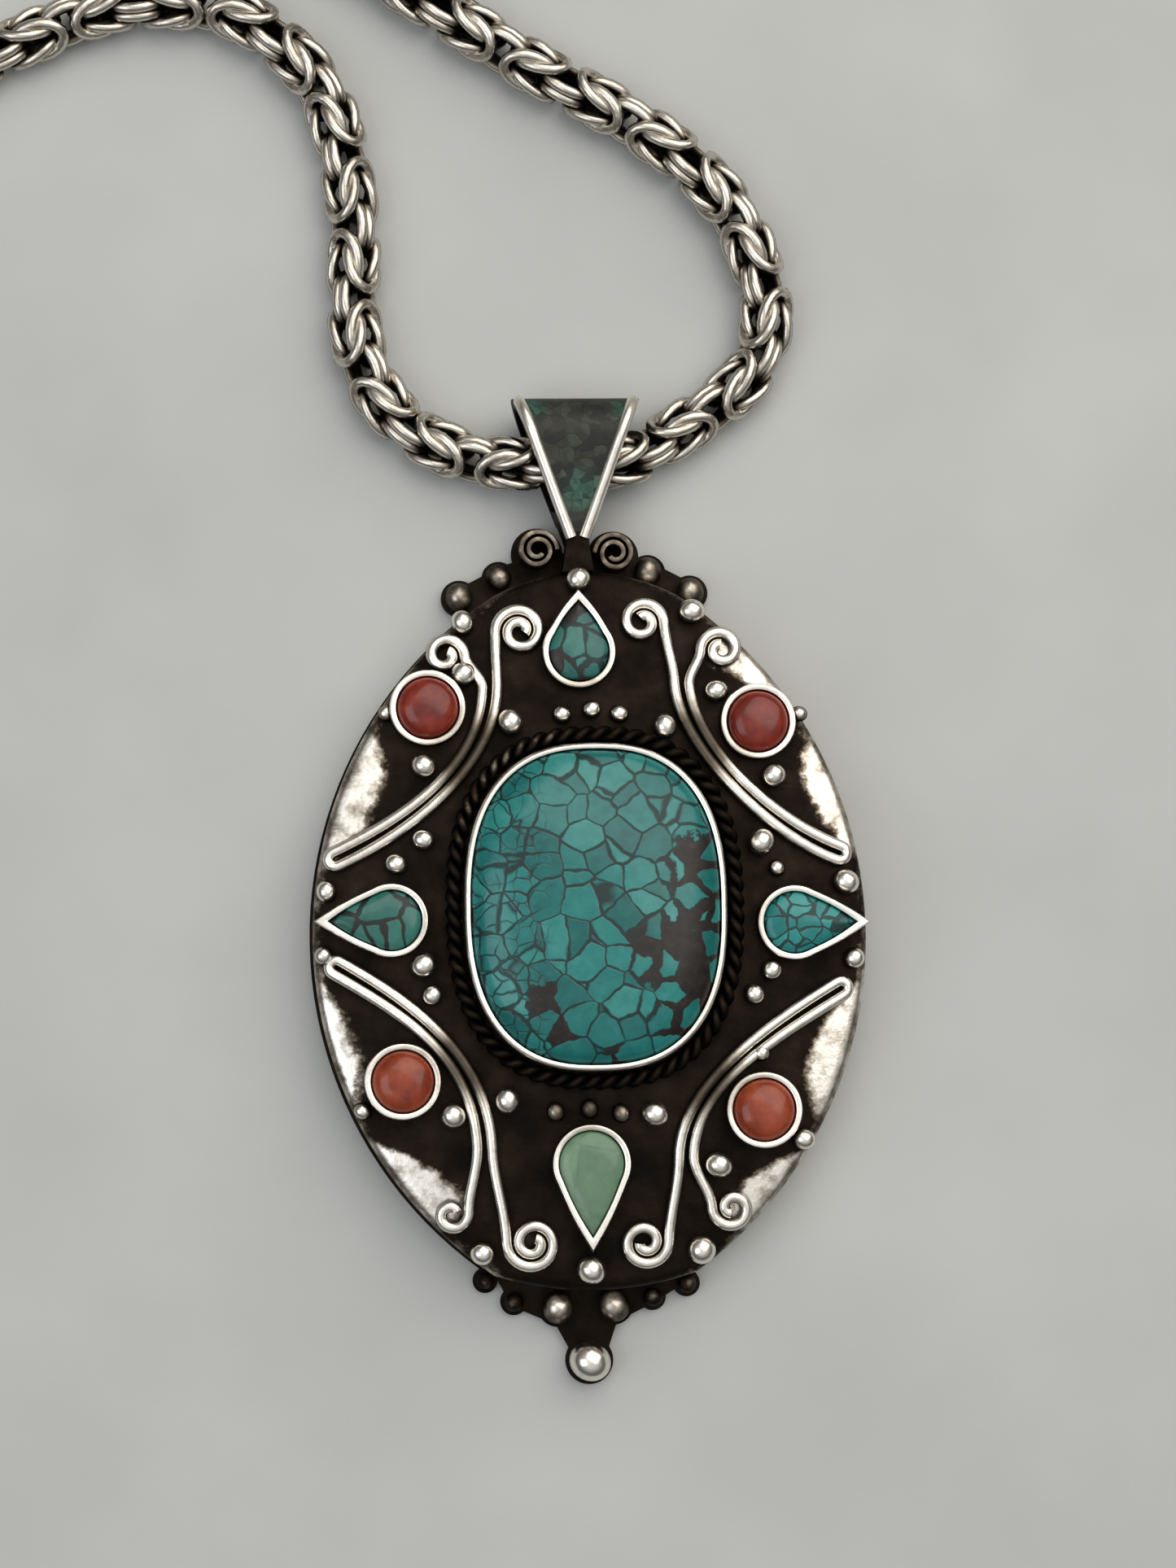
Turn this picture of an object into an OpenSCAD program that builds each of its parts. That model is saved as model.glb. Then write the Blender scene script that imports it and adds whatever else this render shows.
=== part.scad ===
// Stone-set silver box pendant on a woven silver chain, lying flat on its back.
// Millimetres. +X right, +Y towards the bail, +Z out of the front face, back plate on Z = 0.

/* [Box] */
// Radius of each long side arc of the outline
side_r = 34.4; // [34:0.1:35]
// How far each side arc's centre lies past the middle line
side_off = 11.2; // [11:0.1:11.6]
// Height of the outline's widest line along Y
waist_y = -3.9; // [-4.2:0.1:-3.6]
// Thickness of the sheet silver
sheet_t = 0.8; // [0.6:0.05:0.9]
// Height of the front plate's crest above the table
crest_z = 7; // [6.8:0.1:7.4]
// Radius of the front plate's shallow dome
dome_r = 225; // [200:5:260]
// How far the back plate stands out past the side wall
back_lip = 0.4; // [0.2:0.05:0.5]

/* [Stones] */
// Half width of the centre bezel
centre_a = 10.9; // [10.7:0.1:11]
// Half height of the centre bezel
centre_b = 13.6; // [13.4:0.1:13.8]
// Wall of the centre bezel
bezel_t = 0.45; // [0.4:0.05:0.6]
// Height of the centre bezel's rim above the table
bezel_z = 9.4; // [9.2:0.1:9.8]
// Height of the centre stone's crown above the table
stone_z = 11.4; // [11:0.1:12]
// Wall of the drop and coral bezels
small_bezel_t = 0.55; // [0.45:0.05:0.6]
// Height of the small bezels above the plate
small_bezel_h = 1.7; // [1.5:0.1:1.8]
// Outer radius of the coral bezels
coral_r = 3.2; // [3:0.1:3.3]

/* [Wires] */
// Diameter of the twisted rope round the centre bezel
rope_d = 1.5; // [1.3:0.1:1.6]
// Diameter of the scroll wires
wire_d = 0.9; // [0.8:0.05:0.95]

/* [Bail] */
// Half width of the bail's top edge
bail_top = 5.5; // [5.2:0.1:5.8]
// Height of the bail's loop above the table
bail_h = 6.6; // [6.5:0.1:6.8]
// Sheet thickness of the bail's strap
bail_t = 0.8; // [0.7:0.05:0.9]

/* [Chain] */
// Outside diameter of the woven chain
chain_d = 4.2; // [4.1:0.05:4.3]
// Radius of the outermost turn
coil_r = 29; // [28.8:0.1:29.2]
// Length of each end cap
cap_l = 6; // [5.8:0.1:6.2]

/* [Hidden] */

$fn = 48;
eps = 0.02;
silver = "#b9b4aa";
dark_silver = "#5d554c";
top_y = 23;          // where the side arcs meet the crest arc
foot_y = -31.8;      // where the side arcs meet the foot arc
crest_arc_r = 16;
crest_arc_y = 10.8;
foot_arc_r = 27;
foot_arc_y = -6.5;
solder_gap = 0.04;   // film of solder between the plate and what stands on it
low_z = sheet_t;     // top of the back plate, where the crown and foot pieces stand
cut_z = 4;           // under the front plate everywhere, where pieces start before the dome is cut away
bed_top = 7.6;       // top of the bed under the centre stone
granule_seat = 0.6;  // height of a granule's centre over its seat, as part of its radius
ball_seat = 0.7;     // the same for the ball at the foot
fit_gap = 0.05;      // gap between a stone or bed and the bezel round it
centre_at = [0.3, -1.7];
small_stone_rise = 0.6;
small_bezel_sink = 0.25;  // how far a small stone's edge lies under its bezel's rim

// Drops: [outer radius of the round end, length from tip to round end, centre of the round end, heading of the tip]
drop_top = [3.1, 8.4, [-0.7, 19.7], 90];
drop_left = [3.1, 9.5, [-16.6, -2.6], 180];
drop_right = [3.15, 9.5, [16.9, -3.2], 0];
drop_bottom = [3.3, 10.6, [-0.3, -22.9], 270];

// Coral settings
coral_ul = [-13.4, 15.1];
coral_ur = [14.2, 13.7];
coral_ll = [-15.8, -15.9];
coral_lr = [14.1, -18.7];

// Scrolls: [side, end, hairpin, two guide points, fork, inner curl's centre and radius, outer curl's centre and radius]
scroll_ul = [-1, 1, [-21.2, 2.6], [-14.5, 5.6], [-8.4, 10.5], [-8.2, 16.8], [-5.6, 21.6], 2.1, [-11.9, 19.6], 1.65];
scroll_ur = [1, 1, [20.9, 2.6], [15, 4.8], [8.2, 11.8], [7.9, 17], [4.7, 22.3], 1.85, [11.3, 19.9], 1.75];
scroll_ll = [-1, -1, [-21.2, -6.4], [-14.8, -10.2], [-9.4, -14], [-9.1, -21.5], [-5.2, -29.4], 2.2, [-11.9, -26.9], 1.4];
scroll_lr = [1, -1, [20.8, -8.7], [13.7, -12.8], [7.7, -17], [7.6, -22.5], [4.1, -29.5], 2, [11.4, -26.8], 1.7];
line_gap = 0.62;     // from a scroll's middle line to each of its two lines

// Granules: [x, y, radius]
upper_granules = [[-0.6, 26, 1.05], [-10.4, 22.4, 1], [-10.4, 18, 1.05], [-16.9, 14.8, 0.7],
  [-13.8, 10.3, 1.05], [-6.5, 13.9, 1.1], [-2.2, 14.5, 0.8], [0.3, 14.9, 0.8], [2.6, 14.5, 0.8],
  [6.4, 13.4, 1.05], [8.9, 23.2, 1.1], [10.8, 16.4, 1], [17.8, 14.4, 0.7], [15.5, 9.2, 1.05]];
side_granules = [[-13.9, 4.1, 0.95], [-16.2, 2.1, 0.95], [-22, -0.1, 0.9], [-22.3, -5.4, 0.8],
  [-14, -6.3, 1.1], [-13.3, -8.8, 0.9], [14.3, 3.6, 1.15], [15.6, 1.4, 0.7], [21.4, 0.2, 1.1],
  [22, -6.2, 0.9], [15, -7.1, 0.9], [13.5, -9.1, 0.9]];
lower_granules = [[14, -14, 0.75], [17.5, -21.2, 0.95], [10.3, -23.2, 1.15], [-19.2, -18.3, 0.75],
  [-11.7, -18.8, 1.1], [-7.2, -17.6, 1.1], [-3.2, -18.6, 0.8], [-0.4, -18.4, 0.8],
  [2.2, -18.8, 0.8], [5, -18.9, 1.15], [-9.4, -30.2, 1], [-0.4, -31.7, 1.2], [8.8, -30.2, 1.2]];
crown_spots = [[-7.2, 26.8, 1.1], [-10.6, 25.1, 1.2], [5.6, 27.2, 1.2], [9.2, 25.4, 1.2]];
foot_spots = [[-3, -35.1, 1.35], [1.7, -35, 1.35], [5, -34.4, 0.8], [7.9, -33.3, 0.8],
  [-9.1, -32.8, 0.7], [-6.7, -34.6, 0.8]];
// Sheet between the scallops of the back plate, at the foot and at the crown
foot_web = [[-9, -31], [-6.9, -35], [-3.2, -36.6], [-1.9, -39], [1.1, -39], [2, -36.4], [5.2, -34.9], [8.2, -33],
  [8, -31]];
crown_web = [[-11, 24], [-10.6, 26], [-7.2, 27.7], [-3.9, 29], [2.6, 28.8], [5.8, 28.2], [9.4, 26.3], [9.8, 24]];
crown_curl_left = [-3.9, 28.9];
crown_curl_right = [2.65, 28.6];
curl_r = 1.9;
curl_h = 2.6;
curl_strip = 0.45;
ball_at = [-0.4, -39.6];
ball_r = 1.72;

// Bail, with X measured from its own middle line
bail_x = -0.55;
bail_y1 = 41.8;
bail_waist_y = 29.4;
bail_waist = 0.95;
bail_foot_y = 26.6;
bail_foot = 1.4;
bail_neck_z = 4.9;
bail_back_y = 31.2;   // where the strap's back leaves the back plate
bail_round = bail_h / 2;
rim_w = 0.75;
inlay_depth = 0.45;
inlay_y0 = 31;
inlay_y1 = 40.6;

// Chain: X, Y and Z of the route from the bail, up to where each strand joins the coil
chain_r = chain_d / 2;
left_route = [[0, 36.4, 3.15], [-3.6, 36.3, 3.15], [-8.5, 36.7, 2.4], [-12, 38, 2.1], [-15, 40, 2.1],
  [-17.5, 43, 2.1], [-19, 47, 2.1], [-19.3, 52, 2.1], [-19.3, 57, 2.1], [-20, 63, 2.1],
  [-21.5, 68, 2.1], [-24.5, 72.3, 2.1], [-29.5, 75.8, 2.1], [-35.5, 76.7, 2.1], [-41, 76, 2.1],
  [-47, 73.5, 2.1], [-52, 71.3, 2.1], [-57.5, 70.5, 2.1], [-62.5, 72.5, 2.1], [-65, 77, 2.1],
  [-65, 83, 2.1], [-62, 90, 2.1], [-57, 97, 2.1], [-50, 104.5, 2.1], [-41, 113.5, 2.1],
  [-32, 122.5, 2.1]];
right_route = [[0, 36.4, 3.15], [3.8, 36.7, 3.15], [7.5, 38.7, 2.4], [11.5, 41.4, 2.1],
  [14.3, 44, 2.1], [15.9, 47.5, 2.1], [16, 51, 2.1], [14.7, 55.5, 2.1], [12.6, 59.3, 2.1],
  [9.7, 62.6, 2.1], [6, 65.4, 2.1], [0.7, 68.7, 2.1], [-4.4, 71.5, 2.1], [-9.2, 74.6, 2.1],
  [-13.5, 77.4, 2.1], [-18, 80.4, 2.1], [-22.3, 84.7, 2.1]];
coil_at = [-4, 109.5];
coil_out = coil_r + chain_r;
coil_in = 16.5;
// Where each end leaves the coil: angle round the coil, then the heading of its cap
left_end_a = 130;
left_head = -10;
right_end_a = 250;
right_head = 110;
end_r = 14.5;
link_r = 0.35;       // wire radius of the rings
jump_mid_r = 2;
catch_mid_r = 2.6;
cap_r = 2.3;
eye_x = 5.4;         // middle of the cap's eye
eye_r = 0.9;
eye_t = 0.6;
clasp_eye_x = 1.3;
clasp_t = 2.4;
clasp_ring_x = 7;
clasp_hole = 2;
clasp_rim = 3.2;
lever_t = 0.9;
lever_w = 0.75;
pin_r = 0.35;
pin_at = [4.3, 1.9];
lever_tip = [8.1, 1.1];
run = 0.05;          // radial running clearance of the lever on its pin

// Height of the front plate's surface over a point
function plate_z(p) = crest_z - dome_r + sqrt(dome_r * dome_r - p[0] * p[0] - pow(p[1] - waist_y, 2));
function sgn_pow(v, e) = sign(v) * pow(abs(v), e);
// Point at angle t on the centre stone's rounded oval, g outside the bezel
function oval(t, g) = [centre_at[0] + (centre_a + g) * sgn_pow(cos(t), 0.8),
  centre_at[1] + (centre_b + g) * sgn_pow(sin(t), 0.8)];
function oval_points(g, n = 72) = [for (i = [0:n - 1]) oval(360 * (i + 0.5) / n, g)];
function bezier(a, b, c, d, t) = pow(1 - t, 3) * a + 3 * t * pow(1 - t, 2) * b + 3 * t * t * (1 - t) * c + t * t * t * d;
function flat(p) = [p[0], p[1]];
function polar(r, a) = [r * cos(a), r * sin(a)];
function unit2(v) = v / norm(v);
function side2(v) = [-v[1], v[0]];
function reversed(v) = [for (i = [len(v) - 1:-1:0]) v[i]];

// One turn-by-turn curl from radius r to its eye, starting at angle a0
function curl(c, r, a0, way, n = 26) = let (turns = (r - 0.45) / 1.05)
  [for (i = [1:n]) c + polar(r - (r - 0.45) * i / n, a0 + way * 360 * turns * i / n)];
// One of a scroll's two lines, from its hairpin to its curl; k is the side of the middle line it runs on
function scroll_line(s, k, c, r, a0, way, n = 10, m = 5) = let (
    u = unit2(s[3] - s[2]), out = line_gap * k * side2(u), joint = c + polar(r, a0),
    across = [line_gap * k * -s[1], 0], fork = s[5] + across, rise = (joint[1] - fork[1]) / 3)
  concat([for (i = [0:n - 1]) bezier(s[2] + out, s[3] + out, s[4] + across, fork, i / n)],
    [for (i = [0:m]) bezier(fork, fork + [0, rise], joint - [0, rise], joint, i / m)],
    curl(c, r, a0, way));
// The bend at the side end, from the outer line round to the inner one
function hairpin(s, w) = let (u = unit2(s[3] - s[2]), a = atan2(u[1], u[0]))
  [for (i = [1:3]) s[2] + polar(line_gap, a - w * 90 - w * 180 * i / 4)];
function scroll_path(s) = let (w = s[0] * s[1])
  concat(reversed(scroll_line(s, -w, s[8], s[9], s[0] < 0 ? 0 : 180, -w)),
    hairpin(s, w),
    scroll_line(s, w, s[6], s[7], s[0] < 0 ? 180 : 0, w));
function on_plate(p, r) = [p[0], p[1], plate_z(p) + r + eps];

// Round tube through path points, with its rings square to the route
function unit3(v) = v / norm(v);
function heading(p, i, loop) = let (n = len(p))
  unit3((loop || i < n - 1 ? p[(i + 1) % n] : p[i]) - (loop || i > 0 ? p[(i + n - 1) % n] : p[i]));
function ring(c, u, r, n) = let (s = unit3(cross(u, [0, 0, 1])), w = cross(s, u))
  [for (j = [0:n - 1]) c + r * (cos(360 * j / n) * s + sin(360 * j / n) * w)];
module tube(path, r, n = 8, loop = false) {
  m = len(path);
  points = [for (i = [0:m - 1]) each ring(path[i], heading(path, i, loop), r, n)];
  sides = [for (i = [0:m - (loop ? 1 : 2)], j = [0:n - 1])
    [i * n + j, ((i + 1) % m) * n + j, ((i + 1) % m) * n + (j + 1) % n, i * n + (j + 1) % n]];
  caps = loop ? [] : [[for (j = [0:n - 1]) j], [for (j = [n - 1:-1:0]) (m - 1) * n + j]];
  polyhedron(points, concat(sides, caps));
}
// Catmull-Rom point between route points i and i + 1
function along(p, i, t) = let (n = len(p), a = p[max(i - 1, 0)], b = p[i], c = p[i + 1], d = p[min(i + 2, n - 1)])
  0.5 * (2 * b + t * (c - a) + t * t * (2 * a - 5 * b + 4 * c - d) + t * t * t * (3 * b - a - 3 * c + d));
function smooth(p) = concat([for (i = [0:len(p) - 2], t = [0, 0.5]) along(p, i, t)], [p[len(p) - 1]]);

// The box's outline as an upright solid, g larger all round
module outline(z0, z1, g = 0) {
  intersection() {
    translate([side_off, waist_y, z0]) cylinder(r = side_r + g, h = z1 - z0, $fn = 120);
    translate([-side_off, waist_y, z0]) cylinder(r = side_r + g, h = z1 - z0, $fn = 120);
    union() {
      translate([-30, foot_y - g, z0]) cube([60, top_y - foot_y + 2 * g, z1 - z0]);
      translate([0, crest_arc_y, z0]) cylinder(r = crest_arc_r + g, h = z1 - z0, $fn = 120);
      translate([0, foot_arc_y, z0]) cylinder(r = foot_arc_r + g, h = z1 - z0, $fn = 120);
    }
  }
}
module dome_cut() {
  dome(-solder_gap);
}
module dome(sink = 0) {
  translate([0, waist_y, crest_z - dome_r]) sphere(r = dome_r - sink, $fn = 180);
}

module back_plate() {
  color(dark_silver) union() {
    outline(0, sheet_t, back_lip);
    for (s = concat(crown_spots, foot_spots)) translate([s[0], s[1], 0]) cylinder(r = s[2] + 0.35, h = sheet_t);
    for (c = [crown_curl_left, crown_curl_right]) translate([c[0], c[1], 0]) cylinder(r = curl_r + 0.3, h = sheet_t);
    translate([ball_at[0], ball_at[1], 0]) cylinder(r = ball_r + 0.3, h = sheet_t);
    linear_extrude(sheet_t) polygon(foot_web);
    linear_extrude(sheet_t) polygon(crown_web);
  }
}
module side_wall() {
  color(silver) difference() {
    intersection() {
      outline(low_z, crest_z);
      dome(sheet_t);
    }
    outline(0, crest_z + 1, -sheet_t);
  }
}
module front_plate() {
  color(dark_silver) difference() {
    intersection() {
      outline(low_z, crest_z + 1);
      dome();
    }
    dome(sheet_t);
  }
}

module centre_bezel() {
  color(silver) difference() {
    translate([0, 0, cut_z]) linear_extrude(bezel_z - cut_z) polygon(oval_points(0));
    translate([0, 0, cut_z - 1]) linear_extrude(bezel_z) polygon(oval_points(-bezel_t));
    dome_cut();
  }
}
module centre_bed() {
  color("#3a332c") difference() {
    translate([0, 0, cut_z]) linear_extrude(bed_top - cut_z) polygon(oval_points(-bezel_t - fit_gap));
    dome_cut();
  }
}
module centre_stone() {
  crown_r = 38;
  color("#4bb0a9") intersection() {
    translate([0, 0, bed_top]) linear_extrude(stone_z) polygon(oval_points(-bezel_t - fit_gap));
    translate([centre_at[0], centre_at[1], stone_z - crown_r]) sphere(r = crown_r, $fn = 120);
  }
}
module rope_wire() {
  r = rope_d / 2;
  gap = r + 0.1;
  color(silver) tube([for (p = oval_points(gap, 80)) on_plate(p, r)], r, 8, true);
}

// Drop outline: a round end of radius r and a tip at distance l from the far side of the round end
function drop_points(r, l, n = 30) = let (reach = l - r, open = acos(r / reach))
  concat([[reach, 0]], [for (i = [0:n]) polar(r, open + (360 - 2 * open) * i / n)]);
module drop_shape(d, g) {
  reach = (d[1] - d[0]) * (d[0] - g) / d[0];
  translate([d[2][0], d[2][1], 0]) rotate([0, 0, d[3]]) linear_extrude(9)
    polygon(drop_points(d[0] - g, reach + d[0] - g));
}
module below(z) {
  translate([-40, -50, 0]) cube([80, 100, z]);
}
module drop_bezel(d) {
  color(silver) difference() {
    intersection() {
      drop_shape(d, 0);
      below(plate_z(d[2]) + small_bezel_h);
    }
    translate([0, 0, -1]) drop_shape(d, small_bezel_t);
    translate([0, 0, 1]) drop_shape(d, small_bezel_t);
    dome_cut();
  }
}
module drop_stone(d, tint) {
  ball = 14;
  color(tint) difference() {
    intersection() {
      drop_shape(d, small_bezel_t + 0.03);
      translate([d[2][0], d[2][1], plate_z(d[2]) + small_bezel_h - small_bezel_sink + small_stone_rise - ball])
        sphere(r = ball, $fn = 90);
    }
    dome_cut();
  }
}
module coral_bezel(c) {
  color(silver) difference() {
    translate([c[0], c[1], 3]) cylinder(r = coral_r, h = plate_z(c) + small_bezel_h - 3);
    translate([c[0], c[1], 2]) cylinder(r = coral_r - small_bezel_t, h = 9);
    dome_cut();
  }
}
module coral_stone(c, tint) {
  r = coral_r - small_bezel_t - 0.03;
  ball = 3.6;
  rim = plate_z(c) + small_bezel_h - small_bezel_sink;
  color(tint) difference() {
    intersection() {
      translate([c[0], c[1], 3]) cylinder(r = r, h = 9);
      translate([c[0], c[1], rim - sqrt(ball * ball - r * r)]) sphere(r = ball);
    }
    dome_cut();
  }
}
module drop_bezel_top() drop_bezel(drop_top);
module drop_bezel_left() drop_bezel(drop_left);
module drop_bezel_right() drop_bezel(drop_right);
module drop_bezel_bottom() drop_bezel(drop_bottom);
module drop_stone_top() drop_stone(drop_top, "#3c8f86");
module drop_stone_left() drop_stone(drop_left, "#2f7f74");
module drop_stone_right() drop_stone(drop_right, "#35a9a6");
module drop_stone_bottom() drop_stone(drop_bottom, "#8fb8a4");
module coral_bezel_ul() coral_bezel(coral_ul);
module coral_bezel_ur() coral_bezel(coral_ur);
module coral_bezel_ll() coral_bezel(coral_ll);
module coral_bezel_lr() coral_bezel(coral_lr);
module coral_stone_ul() coral_stone(coral_ul, "#8f3424");
module coral_stone_ur() coral_stone(coral_ur, "#8f3424");
module coral_stone_ll() coral_stone(coral_ll, "#b84f30");
module coral_stone_lr() coral_stone(coral_lr, "#b04a2c");

module scroll_wire(s) {
  color(silver) tube([for (p = scroll_path(s)) on_plate(p, wire_d / 2)], wire_d / 2, 6);
}
module scroll_wire_ul() scroll_wire(scroll_ul);
module scroll_wire_ur() scroll_wire(scroll_ur);
module scroll_wire_ll() scroll_wire(scroll_ll);
module scroll_wire_lr() scroll_wire(scroll_lr);

// Granules sit sunk into their solder by two fifths of their radius
module granules(list) {
  color(silver) difference() {
    for (g = list) translate([g[0], g[1], plate_z(g) + granule_seat * g[2]]) sphere(r = g[2], $fn = 32);
    dome_cut();
  }
}
// What lies under the top of the back plate
module under_back() {
  translate([-30, -50, low_z - 3]) cube([60, 100, 3]);
}
module low_granules(list) {
  color(silver) difference() {
    for (g = list) translate([g[0], g[1], low_z + granule_seat * g[2]]) sphere(r = g[2], $fn = 32);
    under_back();
  }
}
module granules_upper() granules(upper_granules);
module granules_sides() granules(side_granules);
module granules_lower() granules(lower_granules);
module crown_granules() low_granules(crown_spots);
module foot_granules() low_granules(foot_spots);

// Strip wound on edge into a scroll
function strip_points(r, way) = let (n = 40, turns = 1.9, eye = 0.25)
  concat([for (i = [0:n]) polar(r - (r - eye - curl_strip) * i / n, way * 360 * turns * i / n)],
    [for (i = [n:-1:0]) polar(r - curl_strip - (r - eye - curl_strip) * i / n, way * 360 * turns * i / n)]);
module crown_scroll(c, way) {
  color(silver) translate([c[0], c[1], low_z]) rotate([0, 0, way > 0 ? 0 : 180]) linear_extrude(curl_h)
    polygon(strip_points(curl_r, way));
}
module crown_scroll_left() crown_scroll(crown_curl_left, 1);
module crown_scroll_right() crown_scroll(crown_curl_right, -1);
module finial_ball() {
  color(silver) difference() {
    translate([ball_at[0], ball_at[1], low_z + ball_seat * ball_r]) sphere(r = ball_r);
    under_back();
  }
}

// Bail seen from the front, then from its side
module bail_front(inset = 0) {
  translate([bail_x, 0, 0]) linear_extrude(9) polygon([
    [-bail_top + inset, bail_y1], [-bail_waist + inset, bail_waist_y], [-bail_foot + inset, bail_foot_y],
    [bail_foot - inset, bail_foot_y], [bail_waist - inset, bail_waist_y], [bail_top - inset, bail_y1]]);
}
function half_round(y, z, r, n = 16) = [for (i = [0:n]) [y + r * cos(-90 + 180 * i / n), z + r * sin(-90 + 180 * i / n)]];
module bail_side(points) {
  translate([-8, 0, 0]) rotate([90, 0, 90]) linear_extrude(16) polygon(points);
}
bail_turn_y = bail_y1 - bail_round;
loop_outer = concat([[bail_foot_y, low_z], [bail_back_y, low_z], [bail_back_y, 0]],
  half_round(bail_turn_y, bail_round, bail_round), [[bail_waist_y, bail_neck_z], [bail_foot_y, bail_neck_z]]);
loop_inner = concat([[bail_back_y + 1.4, bail_t]], half_round(bail_turn_y, bail_round, bail_round - bail_t),
  [[bail_back_y + 0.6, bail_neck_z - 0.4]]);
module bail_strap() {
  color(silver) difference() {
    intersection() {
      bail_front();
      bail_side(loop_outer);
    }
    bail_side(loop_inner);
    bail_panel(0);
    outline(low_z, crest_z + 1, eps);
  }
}
// The tray for the inlay: everything of the front face above its floor, inset from the rims
module bail_panel(g) {
  slope = atan2(bail_h - bail_neck_z, bail_turn_y - bail_waist_y);
  intersection() {
    bail_front(rim_w + g);
    translate([-8, inlay_y0 + g, 0]) cube([16, inlay_y1 - inlay_y0 - 2 * g, 9]);
    translate([0, bail_waist_y, bail_neck_z]) rotate([slope, 0, 0]) translate([-8, 0, -inlay_depth]) cube([16, 20, 4]);
  }
}
module bail_inlay() {
  color("#4d5249") intersection() {
    bail_panel(eps);
    bail_side(loop_outer);
  }
}
// Rims: bright wires laid along the front panel's two slanting edges
module bail_rim(way) {
  r = 0.4;
  z1 = bail_h + r;
  path = [for (t = [0:0.25:1]) let (y = bail_waist_y + 0.5 + t * (bail_turn_y - bail_waist_y - 0.2))
    [bail_x + way * (bail_waist + (y - bail_waist_y) * (bail_top - bail_waist) / (bail_y1 - bail_waist_y) - r),
      y, bail_neck_z + (bail_h - bail_neck_z) * (y - bail_waist_y) / (bail_turn_y - bail_waist_y) + r + eps]];
  color(silver) tube(path, r, 8);
}
module bail_rim_left() bail_rim(-1);
module bail_rim_right() bail_rim(1);

module chain_left() {
  color(silver) tube(smooth(left_route), chain_r, 10);
}
module chain_right() {
  color(silver) tube(smooth(right_route), chain_r, 10);
}
module chain_coil() {
  color(silver) translate([coil_at[0], coil_at[1], 0]) rotate_extrude($fn = 96)
    polygon([[coil_in, 0.6], [coil_in + 0.8, 0], [coil_out - 0.8, 0], [coil_out, 0.6],
      [coil_out, chain_d - 0.8], [coil_out - 0.8, chain_d], [coil_in + 0.8, chain_d], [coil_in, chain_d - 0.8]]);
}
// Places a fitting's own frame, +X along its heading, at a distance along a chain end
module at_end(a, head, far = 0, z = chain_r) {
  base = coil_at + polar(end_r, a);
  translate([base[0], base[1], z]) rotate([0, 0, head]) translate([far, 0, 0]) children();
}
module end_cap() {
  color(silver) difference() {
    union() {
      rotate([0, 90, 0]) rotate_extrude()
        polygon([[0, 0], [cap_r, 0], [cap_r, cap_l - 2.6], [1.5, cap_l - 1.6], [0, cap_l - 1.4]]);
      translate([eye_x, 0, -eye_t / 2]) cylinder(r = eye_r + 0.6, h = eye_t);
    }
    translate([eye_x, 0, -2]) cylinder(r = eye_r, h = 4);
  }
}
module end_cap_left() at_end(left_end_a, left_head, 0, cap_r) end_cap();
module end_cap_right() at_end(right_end_a, right_head, 0, cap_r) end_cap();
// Rings pass through flat eyes, so they lean over half way
module wire_ring(mid_r) {
  color(silver) rotate([45, 0, 0]) rotate_extrude() translate([mid_r, 0]) circle(r = link_r, $fn = 24);
}
module catch_ring() at_end(left_end_a, left_head, eye_x + catch_mid_r, cap_r) wire_ring(catch_mid_r);
module jump_ring() at_end(right_end_a, right_head, eye_x + jump_mid_r, cap_r) wire_ring(jump_mid_r);

module at_clasp() at_end(right_end_a, right_head, eye_x + 2 * jump_mid_r - clasp_eye_x, cap_r) children();
module clasp_body() {
  z0 = -clasp_t / 2;
  color(silver) at_clasp() difference() {
    union() {
      translate([clasp_eye_x, 0, -eye_t / 2]) cylinder(r = eye_r + 0.6, h = eye_t);
      translate([2.4, -1.5, z0]) cube([3.2, 4.4, clasp_t]);
      translate([clasp_ring_x, 0, z0]) cylinder(r = clasp_rim, h = clasp_t);
    }
    translate([clasp_eye_x, 0, z0 - 1]) cylinder(r = eye_r, h = clasp_t + 2);
    translate([clasp_ring_x, 0, z0 - 1]) cylinder(r = clasp_hole, h = clasp_t + 2);
    translate([5.6, 0.2, z0 - 1]) cube([2.2, 4, clasp_t + 2]);
    translate([3.1, -0.4, -lever_t / 2 - 0.1]) cube([2.8, 4, lever_t + 0.2]);
    translate([pin_at[0], pin_at[1], z0 - 1]) cylinder(r = pin_r, h = clasp_t + 2);
  }
}
module clasp_lever() {
  reach = norm(lever_tip - pin_at);
  tilt = atan2(lever_tip[1] - pin_at[1], lever_tip[0] - pin_at[0]);
  color(silver) at_clasp() translate([pin_at[0], pin_at[1], -lever_t / 2]) rotate([0, 0, tilt]) difference() {
    union() {
      cylinder(r = 0.85, h = lever_t);
      translate([0, -lever_w / 2, 0]) cube([reach, lever_w, lever_t]);
      translate([1.9, 0.7, 0]) cylinder(r = 0.6, h = lever_t);
    }
    translate([0, 0, -1]) cylinder(r = pin_r + run, h = lever_t + 2);
  }
}
module clasp_pin() {
  color(silver) at_clasp() translate([pin_at[0], pin_at[1], -clasp_t / 2]) cylinder(r = pin_r, h = clasp_t);
}
module clasp_spring() {
  color("#8a8a88") at_clasp() translate([3.3, 0.1, -0.35]) difference() {
    cylinder(r = 0.42, h = 0.7);
    translate([0, 0, -1]) cylinder(r = 0.2, h = 3);
  }
}

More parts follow.
